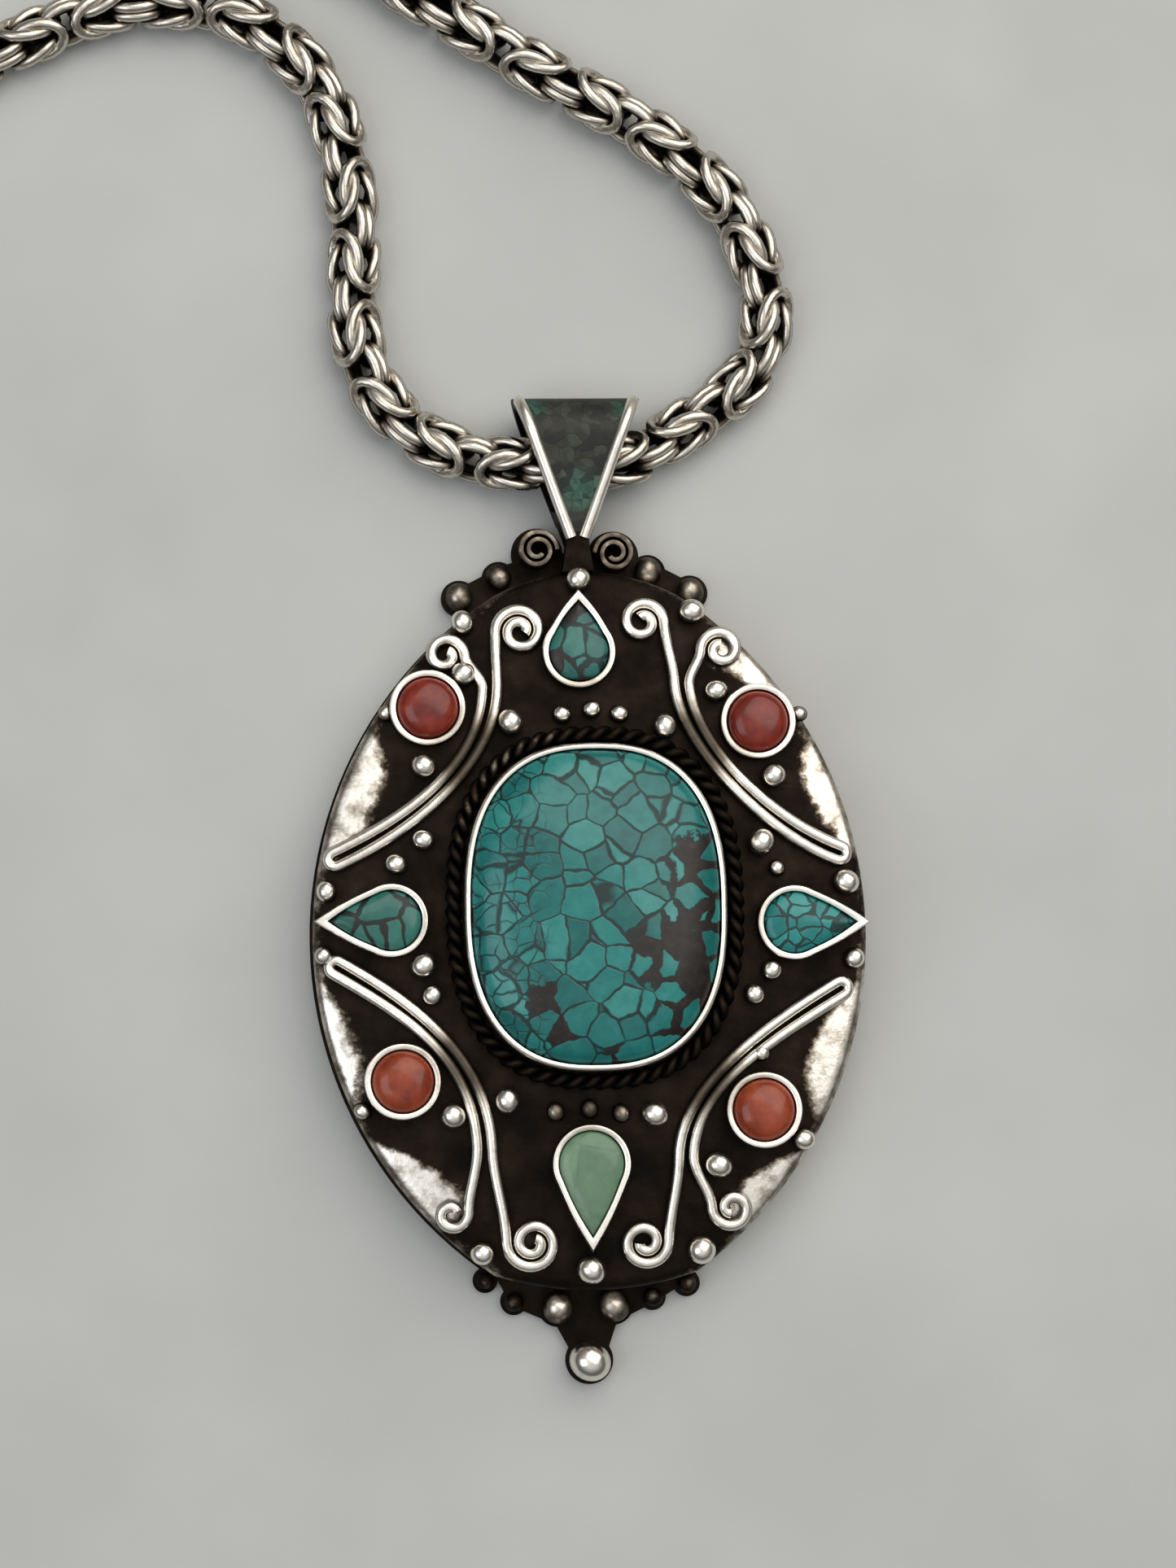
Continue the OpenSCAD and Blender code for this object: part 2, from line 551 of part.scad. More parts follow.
back_plate();
side_wall();
front_plate();
centre_bezel();
centre_bed();
centre_stone();
rope_wire();
drop_bezel_top();
drop_bezel_left();
drop_bezel_right();
drop_bezel_bottom();
drop_stone_top();
drop_stone_left();
drop_stone_right();
drop_stone_bottom();
coral_bezel_ul();
coral_bezel_ur();
coral_bezel_ll();
coral_bezel_lr();
coral_stone_ul();
coral_stone_ur();
coral_stone_ll();
coral_stone_lr();
scroll_wire_ul();
scroll_wire_ur();
scroll_wire_ll();
scroll_wire_lr();
granules_upper();
granules_sides();
granules_lower();
crown_granules();
foot_granules();
crown_scroll_left();
crown_scroll_right();
finial_ball();
bail_strap();
bail_rim_left();
bail_rim_right();
bail_inlay();
chain_left();
chain_right();
chain_coil();
end_cap_left();
end_cap_right();
catch_ring();
jump_ring();
clasp_body();
clasp_lever();
clasp_pin();
clasp_spring();
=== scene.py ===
# %% [markdown]
# # A stone-set silver pendant on a woven chain
# The pendant is a shallow box of sheet silver. Bezels, wires and granules are soldered on its domed
# front, turquoise and coral are set in the bezels, and the whole is blackened and rubbed back, so
# that the hollows stay dark and the high spots shine. This lesson builds the chain first, then the
# pendant from its plates up to its stones, and last the light.

# %% Load the frame
import math

import bmesh
import bpy
import numpy as np
from mathutils import Matrix, Vector


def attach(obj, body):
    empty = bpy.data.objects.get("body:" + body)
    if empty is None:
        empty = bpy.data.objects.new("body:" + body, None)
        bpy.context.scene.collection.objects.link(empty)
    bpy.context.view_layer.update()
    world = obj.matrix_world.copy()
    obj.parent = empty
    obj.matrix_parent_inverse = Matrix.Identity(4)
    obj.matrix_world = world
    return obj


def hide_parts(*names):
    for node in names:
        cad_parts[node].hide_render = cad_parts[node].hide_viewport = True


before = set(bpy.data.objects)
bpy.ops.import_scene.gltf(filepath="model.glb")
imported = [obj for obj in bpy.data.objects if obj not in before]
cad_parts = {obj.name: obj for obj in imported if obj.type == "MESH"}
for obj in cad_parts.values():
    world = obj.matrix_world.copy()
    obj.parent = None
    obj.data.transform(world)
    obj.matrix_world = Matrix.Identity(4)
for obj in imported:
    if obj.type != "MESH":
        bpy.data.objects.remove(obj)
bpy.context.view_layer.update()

# %% [markdown]
# Jewellery is measured in millimetres, and the frame is in metres, so one value turns one into the
# other. Points are made as millimetre triples and scaled once, when they become a mesh.

# %% Units and points
MM = 0.001


def polar(radius, angle):
    """A point at an angle in degrees."""
    return np.array([radius * math.cos(math.radians(angle)), radius * math.sin(math.radians(angle))])


def metres(points):
    return [tuple(float(c) * MM for c in p) for p in points]


# %% [markdown]
# The camera stands almost overhead, a little to the lower left, so that a sliver of the box's left
# wall shows. A long lens keeps the oval from swelling towards the edges of the frame.

# %% Camera
LENS_MM = 75.4
CAMERA_AT = (-15, -12, 280)
LOOKS_AT = (0.1, 8.9, 3)
ROLL_DEG = 0.87


def camera(at, target, lens, roll):
    """A camera at a point, aimed at another, turned by roll about its own line of sight."""
    data = bpy.data.cameras.new("camera")
    data.lens = lens
    data.sensor_width = 36
    data.clip_start = 0.01
    eye = bpy.data.objects.new("camera", data)
    bpy.context.scene.collection.objects.link(eye)
    toward = (Vector(target) - Vector(at)).normalized()
    right = toward.cross(Vector((0, 1, 0))).normalized()
    up = right.cross(toward)
    turned = Matrix.Rotation(math.radians(roll), 3, toward) @ Matrix((right, up, -toward)).transposed()
    eye.matrix_world = Matrix.Translation(Vector(at) * MM) @ turned.to_4x4()
    bpy.context.scene.camera = eye
    return eye


eye = camera(CAMERA_AT, LOOKS_AT, LENS_MM, ROLL_DEG)
print("camera at", [round(c, 3) for c in eye.matrix_world.translation])

# %% [markdown]
# The chain is one weave from cap to cap, threaded through the bail. Each strand is laid out as a
# route: a few listed points where it wanders over the table, then the turns of a neat coil,
# which follow a rule: the radius shrinks by two chain widths a turn, because both strands lie side
# by side. A last half bend leads each end into the middle, where its cap lies.

# %% Chain routes
CHAIN_D = 4.2
TURN_GAP = 4.3
COIL_AT = np.array([-4, 109.5])
COIL_R = 29
END_R = 14.5

LEFT_ROUTE = [(0, 36.4, 3.15), (-3.6, 36.3, 3.15), (-8.5, 36.7, 2.4), (-12, 38, 2.1), (-15, 40, 2.1),
    (-17.5, 43, 2.1), (-19, 47, 2.1), (-19.3, 52, 2.1), (-19.3, 57, 2.1), (-20, 63, 2.1),
    (-21.5, 68, 2.1), (-24.5, 72.3, 2.1), (-29.5, 75.8, 2.1), (-35.5, 76.7, 2.1), (-41, 76, 2.1),
    (-47, 73.5, 2.1), (-52, 71.3, 2.1), (-57.5, 70.5, 2.1), (-62.5, 72.5, 2.1), (-65, 77, 2.1),
    (-65, 83, 2.1), (-62, 90, 2.1), (-57, 97, 2.1), (-50, 104.5, 2.1), (-41, 113.5, 2.1),
    (-32, 122.5, 2.1)]
RIGHT_ROUTE = [(0, 36.4, 3.15), (3.8, 36.7, 3.15), (7.5, 38.7, 2.4), (11.5, 41.4, 2.1),
    (14.3, 44, 2.1), (15.9, 47.5, 2.1), (16, 51, 2.1), (14.7, 55.5, 2.1), (12.6, 59.3, 2.1),
    (9.7, 62.6, 2.1), (6, 65.4, 2.1), (0.7, 68.7, 2.1), (-4.4, 71.5, 2.1), (-9.2, 74.6, 2.1),
    (-13.5, 77.4, 2.1), (-18, 80.4, 2.1), (-22.3, 84.7, 2.1)]


def coil_point(radius, angle):
    return (*(COIL_AT + polar(radius, angle)), CHAIN_D / 2)


def left_turns(angle):
    """Radius of the left strand, which winds clockwise from 135 degrees."""
    return COIL_R - 2 * TURN_GAP * (135 - angle) / 360


def right_turns(angle):
    """Radius of the right strand, which slides in beside the left one at 225 degrees."""
    back = 225 - angle
    return 26.8 - 2 * TURN_GAP * back / 360 + 2.7 * math.exp(-back / 12)


def bend_in(radius, angle, end_angle, end_heading, steps=6):
    """Points of a half bend from the coil's inner turn to an end cap."""
    a = np.array(coil_point(radius, angle))
    b = np.array(coil_point(END_R, end_angle))
    pull = 1.35 * np.linalg.norm(b - a)
    u = np.array([math.sin(math.radians(angle)), -math.cos(math.radians(angle)), 0]) * pull
    v = np.array([*polar(pull, end_heading), 0])
    out = []
    for i in range(1, steps + 1):
        t = i / steps
        out.append(tuple((2 * t**3 - 3 * t**2 + 1) * a + (t**3 - 2 * t**2 + t) * u
            + (3 * t**2 - 2 * t**3) * b + (t**3 - t**2) * v))
    return out


def smoothed(points, steps=8):
    """Catmull-Rom curve through the points."""
    p = np.array([points[0], *points, points[-1]], float)
    out = []
    for a, b, c, d in zip(p, p[1:], p[2:], p[3:]):
        for i in range(steps):
            t = i / steps
            out.append(0.5 * (2 * b + t * (c - a) + t * t * (2 * a - 5 * b + 4 * c - d)
                + t**3 * (3 * b - a - 3 * c + d)))
    return np.array(out + [p[-1]])


def coiled(route, radius_at, start, sweep, end_angle, end_heading):
    turns = [coil_point(radius_at(a), a) for a in np.arange(start, start - sweep - 1, -15)]
    last = start - sweep
    return smoothed(route + turns + bend_in(radius_at(last), last, end_angle, end_heading))


left_line = coiled(LEFT_ROUTE, left_turns, 135, 305 - 5, 130, -10)
right_line = coiled(RIGHT_ROUTE, right_turns, 225, 285, 250, 110)


def length_of(line):
    return float(np.linalg.norm(np.diff(line, axis=0), axis=1).sum())


print("strands:", round(length_of(left_line)), "mm and", round(length_of(right_line)), "mm")

# %% [markdown]
# The weave is the king's or Byzantine braid. It repeats one unit: two rings side by side join it to
# the unit before, two more are folded back along them, and two more hold those open. The next unit
# is the same, turned a quarter about the chain. One ring is modelled once, as a wire oval, and every
# ring of the chain is a copy of it, placed by its unit, its step along the chain, how far it stands
# out from the middle and how far it leans. Rings this small have only 18 steps round and 6 sides.

# %% The braid's unit
RING_HALF_L = 2.3
RING_HALF_W = 1.56
RING_WIRE = 0.5
UNIT = 6.25
ROLL = 45
# Each pair: axis that its rings face, distance out from the middle, step along the unit, lean
PAIRS = [("x", 0.42, 0, 0), ("y", 1.0, 3.32, 15.5), ("x", 1.0, 2.92, -15.5)]


UNIT_REACH = 5.6
IN_CAP = 2


def oval_ring(around=18, sides=6):
    """Vertices and faces of one oval wire ring, long way along Z, facing Y."""
    points, faces = [], []
    for i in range(around):
        a = 2 * math.pi * i / around
        mid = np.array([RING_HALF_W * math.cos(a), 0, RING_HALF_L * math.sin(a)])
        out = np.array([math.cos(a) / RING_HALF_W, 0, math.sin(a) / RING_HALF_L])
        out /= np.linalg.norm(out)
        for j in range(sides):
            b = 2 * math.pi * (j + 0.5) / sides
            points.append(mid + RING_WIRE * (math.cos(b) * out + math.sin(b) * np.array([0, 1, 0])))
            faces.append((i * sides + j, i * sides + (j + 1) % sides,
                (i + 1) % around * sides + (j + 1) % sides, (i + 1) % around * sides + j))
    return np.array(points), np.array(faces)


def placed(points, facing, out, step, lean, way):
    """One ring of a pair, in its unit's own frame: the chain runs along Z."""
    c, s = math.cos(math.radians(lean)), math.sin(math.radians(lean))
    x, y, z = points.T
    y, z = y * c + z * s + out, z * c - y * s + step
    p = np.stack([x, way * y, z], 1)
    if facing == "x":
        p = p[:, [1, 0, 2]]
    return p


def is_flipped(facing, way):
    """Mirroring and swapping axes each turn a ring's faces inside out."""
    return (way < 0) != (facing == "x")


# %% [markdown]
# A line needs a frame at every point to carry rings along it: its heading, a level side and an up.
# The table is flat, so level stays level, and a chain that is lying down doesn't twist.

# %% The chain's rings along a line
def frames_along(line, spots):
    """Point, side, up and heading at each distance along the line."""
    steps = np.concatenate([[0], np.cumsum(np.linalg.norm(np.diff(line, axis=0), axis=1))])
    at = np.stack([np.interp(spots, steps, line[:, k]) for k in range(3)], 1)
    before = np.stack([np.interp(spots - 0.8, steps, line[:, k]) for k in range(3)], 1)
    after = np.stack([np.interp(spots + 0.8, steps, line[:, k]) for k in range(3)], 1)
    head = after - before
    head /= np.linalg.norm(head, axis=1, keepdims=True)
    side = np.cross(head, [0, 0, 1])
    side /= np.linalg.norm(side, axis=1, keepdims=True)
    return at, side, np.cross(side, head), head


def braid(name, line, first_gap):
    """A chain of rings along a line, as one mesh with each point's reach from the chain's middle."""
    ring, ring_faces = oval_ring()
    c, s = math.cos(math.radians(ROLL)), math.sin(math.radians(ROLL))
    end = line[-1] + 6 * (line[-1] - line[-2]) / np.linalg.norm(line[-1] - line[-2])
    span = length_of(line) + IN_CAP - first_gap - UNIT_REACH
    units = round(span / UNIT) + 1
    pitch = span / (units - 1)
    line = np.vstack([line, end])
    points, faces, reach = [], [], []
    for k in range(units):
        for facing, out, step, lean in PAIRS:
            for way in (1, -1):
                p = placed(ring, facing, out, step, lean, way)
                f = ring_faces[:, ::-1] if is_flipped(facing, way) else ring_faces
                if k % 2:
                    p, f = p[:, [1, 0, 2]], f[:, ::-1]
                x, y = p[:, 0] * c - p[:, 1] * s, p[:, 0] * s + p[:, 1] * c
                start = first_gap + k * pitch
                at, side, up, head = frames_along(line, np.array([start + step]))
                local = p[:, 2] - step
                faces.append(f + len(ring) * len(points))
                points.append(at + x[:, None] * side + y[:, None] * up + local[:, None] * head)
                reach.append(np.hypot(x, y))
    mesh = bpy.data.meshes.new(name)
    mesh.from_pydata(metres(np.concatenate(points)), [], np.concatenate(faces).tolist())
    mesh.attributes.new("reach", "FLOAT", "POINT").data.foreach_set("value", np.concatenate(reach))
    mesh.shade_smooth()
    chain = bpy.data.objects.new(name, mesh)
    bpy.context.scene.collection.objects.link(chain)
    print(name, len(points), "rings,", len(mesh.polygons), "faces")
    return chain


chain_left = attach(braid("woven_chain_left", left_line, 3.1), "chain")
chain_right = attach(braid("woven_chain_right", right_line, 0), "chain")
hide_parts("chain_left", "chain_coil")
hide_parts("chain_right")

# %% [markdown]
# ## Finishes
# Colours are written as they look on a screen, in hex, and turned to the linear values that the
# shader wants. One small function adds a node with its settings and its links, so that each finish
# below reads as a list of what it is made of.

# %% Colour and node helpers
def tint(hex_colour):
    """An sRGB hex colour as linear RGBA."""
    out = []
    for i in (1, 3, 5):
        v = int(hex_colour[i:i + 2], 16) / 255
        out.append(v / 12.92 if v <= 0.04045 else ((v + 0.055) / 1.055) ** 2.4)
    return (*out, 1)


def add(tree, kind, settings=None, **links):
    """A node of a kind. Settings are attributes or, where none has the name, inputs; links go to inputs."""
    node = tree.nodes.new("ShaderNode" + kind)
    for key, value in (settings or {}).items():
        if isinstance(key, int) or not hasattr(node, key):
            node.inputs[key].default_value = value
        else:
            setattr(node, key, value)
    for key, socket in links.items():
        name = key.replace("_", " ") if not key[1:].isdigit() else int(key[1:])
        tree.links.new(socket, node.inputs[name])
    return node


def finish(name, **base):
    """A new material with its shader's own values set; returns the material, its tree and shader."""
    material = bpy.data.materials.new(name)
    material.use_nodes = True
    shader = material.node_tree.nodes["Principled BSDF"]
    for key, value in base.items():
        shader.inputs[key.replace("_", " ")].default_value = value
    return material, material.node_tree, shader


def ramp(tree, factor, stops, ease=False):
    """A colour ramp from (place, hex colour) stops."""
    node = add(tree, "ValToRGB", s0=factor)
    band = node.color_ramp
    band.interpolation = "EASE" if ease else "LINEAR"
    while len(band.elements) < len(stops):
        band.elements.new(0.5)
    for element, (place, colour) in zip(band.elements, stops):
        element.position = place
        element.color = tint(colour)
    return node.outputs["Color"]


def math_of(tree, operation, a, b=None, clamp=False):
    """One sum; a and b are sockets or numbers."""
    node = add(tree, "Math", {"operation": operation, "use_clamp": clamp})
    for i, value in enumerate((a, b)):
        if isinstance(value, bpy.types.NodeSocket):
            tree.links.new(value, node.inputs[i])
        elif value is not None:
            node.inputs[i].default_value = value
    return node.outputs[0]


def spread(tree, value, low, high, to_low=0.0, to_high=1.0):
    """A value moved from one range to another, and held inside it."""
    node = add(tree, "MapRange", {1: low, 2: high, 3: to_low, 4: to_high}, s0=value)
    return node.outputs["Result"]


def place(tree):
    """Where a point of the piece is, in metres."""
    return add(tree, "TexCoord").outputs["Object"]


def noise(tree, where, size_mm, detail=4, rough=0.55):
    """Soft noise whose blotches are about size_mm across."""
    node = add(tree, "TexNoise", {"Scale": 1 / (size_mm * MM), "Detail": detail, "Roughness": rough},
        Vector=where)
    return node.outputs["Fac"]


def bumped(tree, shader, height, depth_mm, strength=0.5):
    node = add(tree, "Bump", {"Strength": strength, "Distance": depth_mm * MM}, Height=height)
    tree.links.new(node.outputs["Normal"], shader.inputs["Normal"])


# %% [markdown]
# Silver is dipped in liver of sulphur, which turns it brown-black all over, and is then rubbed with
# a cloth. The cloth only reaches what stands proud. So one number tells where the silver is bright:
# how high a point stands over the plate. The front plate is part of a very large ball, so that
# height is the distance from the ball's centre, less its radius. Each kind of piece says between
# which heights it turns from dark to bright, and a little noise makes the rubbing uneven.

# %% Rubbed silver
DOME_R = 225
CREST_Z = 7
WAIST_Y = -3.9
SHEET = 0.8
PATINA = [(0, "#0d0a08"), (0.3, "#2a221b"), (0.55, "#70675b"), (0.8, "#c6bfb3"), (1, "#f1ece2")]


def plate_z(x, y):
    """Height of the front plate's surface over a point, in millimetres."""
    return CREST_Z - DOME_R + math.sqrt(DOME_R**2 - x * x - (y - WAIST_Y) ** 2)


def height_over_plate(tree, where):
    centre = (0, WAIST_Y * MM, (CREST_Z - DOME_R) * MM)
    out = add(tree, "VectorMath", {"operation": "SUBTRACT", 1: centre}, s0=where).outputs[0]
    away = add(tree, "VectorMath", {"operation": "LENGTH"}, s0=out).outputs["Value"]
    return math_of(tree, "SUBTRACT", away, DOME_R * MM)


def rubbed(tree, shader, bright, where, polish=0.2, bump_mm=0.05):
    """Colour, metal and roughness of silver from how bright it has been rubbed, 0 to 1."""
    tree.links.new(ramp(tree, bright, PATINA), shader.inputs["Base Color"])
    tree.links.new(spread(tree, bright, 0.0, 0.5, 0.94, 1.0), shader.inputs["Metallic"])
    haze = math_of(tree, "MULTIPLY", noise(tree, where, 0.7, 5), 0.16)
    rough = math_of(tree, "ADD", spread(tree, bright, 0.1, 0.8, 0.5, polish), haze)
    tree.links.new(rough, shader.inputs["Roughness"])
    bumped(tree, shader, noise(tree, where, 0.45, 4, 0.6), bump_mm, 0.35)


def near(tree, where, spots, inner=0.45):
    """1 at the middle of any of the (x, y, radius) spots, falling to 0 at its radius."""
    best = None
    for x, y, radius in spots:
        off = add(tree, "VectorMath", {"operation": "SUBTRACT", 1: (x * MM, y * MM, 0)}, s0=where)
        flat = add(tree, "VectorMath", {"operation": "MULTIPLY", 1: (1, 1, 0)}, s0=off.outputs[0])
        away = add(tree, "VectorMath", {"operation": "LENGTH"}, s0=flat.outputs[0]).outputs["Value"]
        here = spread(tree, away, radius * MM, radius * inner * MM)
        best = here if best is None else math_of(tree, "MAXIMUM", best, here)
    return best


def rubbed_silver(name, dark_mm, bright_mm, over_plate=True, wear=0.5, polish=0.2, dull=(), shine=()):
    """Silver that is dark below one height and bright above another, duller near or away from some spots."""
    material, tree, shader = finish(name)
    where = place(tree)
    if over_plate:
        height = height_over_plate(tree, where)
    else:
        height = add(tree, "SeparateXYZ", s0=where).outputs["Z"]
    bright = spread(tree, height, dark_mm * MM, bright_mm * MM)
    uneven = math_of(tree, "SUBTRACT", noise(tree, where, 1.1, 4), 0.5)
    bright = math_of(tree, "ADD", bright, math_of(tree, "MULTIPLY", uneven, wear), clamp=True)
    if dull:
        bright = math_of(tree, "MULTIPLY", bright, spread(tree, near(tree, where, dull), 0, 1, 1, 0.42))
    if shine:
        bright = math_of(tree, "MULTIPLY", bright, spread(tree, near(tree, where, shine), 0, 1, 0.5, 1))
    rubbed(tree, shader, bright, where, polish)
    return material


BESIDE_STONE = [(-9.2, 10.8, 5), (8.4, 11.6, 5), (-9.6, -13.8, 5), (8.3, -15.5, 5)]
wire_silver = rubbed_silver("rubbed_silver_wire", 0.34, 0.86, wear=0.6, dull=BESIDE_STONE)
bezel_silver = rubbed_silver("rubbed_silver_bezel", 0.8, 1.6, wear=0.35, polish=0.22)
granule_silver = rubbed_silver("rubbed_silver_granule", 0.5, 1.05, wear=0.35, polish=0.16,
    dull=[(-0.5, -18.6, 4.5)])
rope_silver = rubbed_silver("rubbed_silver_rope", 1.1, 2.0, wear=0.9, polish=0.3, shine=[(-8.5, 11, 9)])
rim_silver = rubbed_silver("rubbed_silver_rim", -3.2, 0.2, wear=0.4, polish=0.24)
strap_silver = rubbed_silver("rubbed_silver_strap", 4.4, 7.2, over_plate=False, wear=0.5, polish=0.26)
low_silver = rubbed_silver("rubbed_silver_low", 1.2, 3.5, over_plate=False, wear=0.9)
curl_silver = rubbed_silver("rubbed_silver_curl", 1.6, 5.2, over_plate=False, wear=0.8)
wall_silver = rubbed_silver("rubbed_silver_wall", -2.0, 2.2, over_plate=False, wear=0.7, polish=0.3)
ball_silver = rubbed_silver("rubbed_silver_ball", 0.9, 2.7, over_plate=False, wear=0.5, polish=0.14)


def back_finish():
    """The flat underside lies against cloth and skin, which keeps it bright. The top of the sheet is dark."""
    material, tree, shader = finish("rubbed_silver_back")
    where = place(tree)
    height = add(tree, "SeparateXYZ", s0=where).outputs["Z"]
    under = spread(tree, height, 0.5 * MM, 0.05 * MM, 0.12, 0.8)
    uneven = math_of(tree, "SUBTRACT", noise(tree, where, 4, 6, 0.65), 0.5)
    bright = math_of(tree, "ADD", under, math_of(tree, "MULTIPLY", uneven, 0.6), clamp=True)
    rubbed(tree, shader, bright, where, 0.3)
    return material


back_silver = back_finish()

# %% [markdown]
# The chain is the same silver, but it is rubbed on the outside of every ring. Each ring was laid
# with its reach from the chain's middle, so that number stands in for height.

# %% Chain silver
def chain_silver():
    material, tree, shader = finish("rubbed_silver_chain")
    where = place(tree)
    reach = add(tree, "Attribute", {"attribute_name": "reach"}).outputs["Fac"]
    bright = spread(tree, reach, 1.2, 1.8)
    uneven = math_of(tree, "SUBTRACT", noise(tree, where, 1.6, 4), 0.5)
    bright = math_of(tree, "ADD", bright, math_of(tree, "MULTIPLY", uneven, 0.55), clamp=True)
    rubbed(tree, shader, math_of(tree, "MULTIPLY", bright, 0.84), where, 0.2)
    return material


braid_silver = chain_silver()
for piece in (chain_left, chain_right):
    piece.data.materials.append(braid_silver)

# %% [markdown]
# The front plate is left dark. Wear has polished only its outer edge, in crescents between
# the settings and a thin line along the rim. How deep the wear goes in from the edge is an arch
# along each patch, with noise for its ragged border, and fine scratches cross the dark field.
# The crescents also carry painted shade: they darken towards the edge, where it rolls over.

# %% Front plate finish
SIDE_R = 34.4
SIDE_OFF = 11.2
# Crescents: side, middle and half length along Y, depth in from the edge
CRESCENTS = [(-1, 7.4, 6.2, 3.3), (-1, -12.8, 5.6, 2.2), (-1, -24.6, 4, 3.4), (1, 7.6, 5.8, 2.4),
    (1, -13.8, 6.2, 3.2), (1, -25.4, 3.6, 2.8), (1, 18.6, 3.2, 2.6)]


def plate_finish():
    material, tree, shader = finish("blackened_silver_plate")
    where = place(tree)
    axes = add(tree, "SeparateXYZ", s0=where)
    x, y = axes.outputs["X"], axes.outputs["Y"]
    out = math_of(tree, "ADD", math_of(tree, "ABSOLUTE", x), SIDE_OFF * MM)
    up = math_of(tree, "SUBTRACT", y, WAIST_Y * MM)
    away = math_of(tree, "SQRT", math_of(tree, "ADD", math_of(tree, "MULTIPLY", out, out),
        math_of(tree, "MULTIPLY", up, up)))
    inward = math_of(tree, "SUBTRACT", SIDE_R * MM, away)
    depth = None
    for side, middle, half, deep in CRESCENTS:
        along = math_of(tree, "DIVIDE", math_of(tree, "SUBTRACT", y, middle * MM), half * MM)
        arch = math_of(tree, "SUBTRACT", 1.0, math_of(tree, "MULTIPLY", along, along), clamp=True)
        own = math_of(tree, "GREATER_THAN", math_of(tree, "MULTIPLY", x, side), 0.0)
        arch = math_of(tree, "MULTIPLY", math_of(tree, "MULTIPLY", arch, own), deep * MM)
        depth = arch if depth is None else math_of(tree, "MAXIMUM", depth, arch)
    torn = math_of(tree, "SUBTRACT", noise(tree, where, 1.3, 7, 0.72), 0.5)
    ragged = math_of(tree, "MULTIPLY", torn, 2.6 * MM)
    rim = math_of(tree, "MULTIPLY", noise(tree, where, 3, 2), 0.45 * MM)
    line = math_of(tree, "ADD", math_of(tree, "MAXIMUM", depth, rim), ragged)
    worn = spread(tree, math_of(tree, "SUBTRACT", line, inward), -0.5 * MM, 0.5 * MM)
    wear_and_edge_shade = spread(tree, noise(tree, where, 1.5, 6, 0.65), 0.34, 0.6, 0.52, 0.95)
    # Painted shade: the worn patches turn darker over the last 0.8 mm before the edge, where the plate rolls
    # over.
    wear_and_edge_shade = math_of(tree, "MULTIPLY", wear_and_edge_shade, spread(tree, inward, 0.1 * MM, 0.8 * MM, 0.66, 1))
    streaks = add(tree, "Mapping", {"Rotation": (0, 0, 0.6), "Scale": (1, 9, 1)}, Vector=where)
    scratch = spread(tree, noise(tree, streaks.outputs[0], 3.5, 8, 0.7), 0.6, 0.8, 0, 0.2)
    mottle = spread(tree, noise(tree, where, 3.5, 5), 0.35, 0.75, 0.04, 0.32)
    bright = math_of(tree, "ADD", math_of(tree, "ADD", math_of(tree, "MULTIPLY", worn, wear_and_edge_shade), scratch),
        mottle, clamp=True)
    rubbed(tree, shader, bright, where, 0.24, 0.1)
    return material


plate_silver = plate_finish()

# %% [markdown]
# Turquoise grows as nodules in dark host rock, so a cut stone shows blue-green cells in a net of
# fine veins, with lumps of brown rock where the net widens. A Voronoi pattern gives the cells: its
# distance to the nearest edge draws the veins, and its cell colour varies the blue. Noise bends the
# cells first, because no two are straight-sided. Near a lump of rock the veins are made so wide that
# some cells vanish and the others shrink to rounded islands, as they do in the stone.

# %% Turquoise
ROCKY = ("#0f0d0b", "#201b17", "#3b342d")


def swayed(tree, where, points, size_mm, sway_mm, detail):
    """The points, each moved up to about half of sway_mm by soft noise."""
    shift = add(tree, "TexNoise", {"Scale": 1 / (size_mm * MM), "Detail": detail}, Vector=where)
    centred = add(tree, "VectorMath", {"operation": "SUBTRACT", 1: (0.5, 0.5, 0.5)},
        s0=shift.outputs["Color"])
    bend = add(tree, "VectorMath", {"operation": "SCALE", "Scale": sway_mm * MM}, s0=centred.outputs[0])
    return add(tree, "VectorMath", {"operation": "ADD"}, s0=points, s1=bend.outputs[0]).outputs[0]


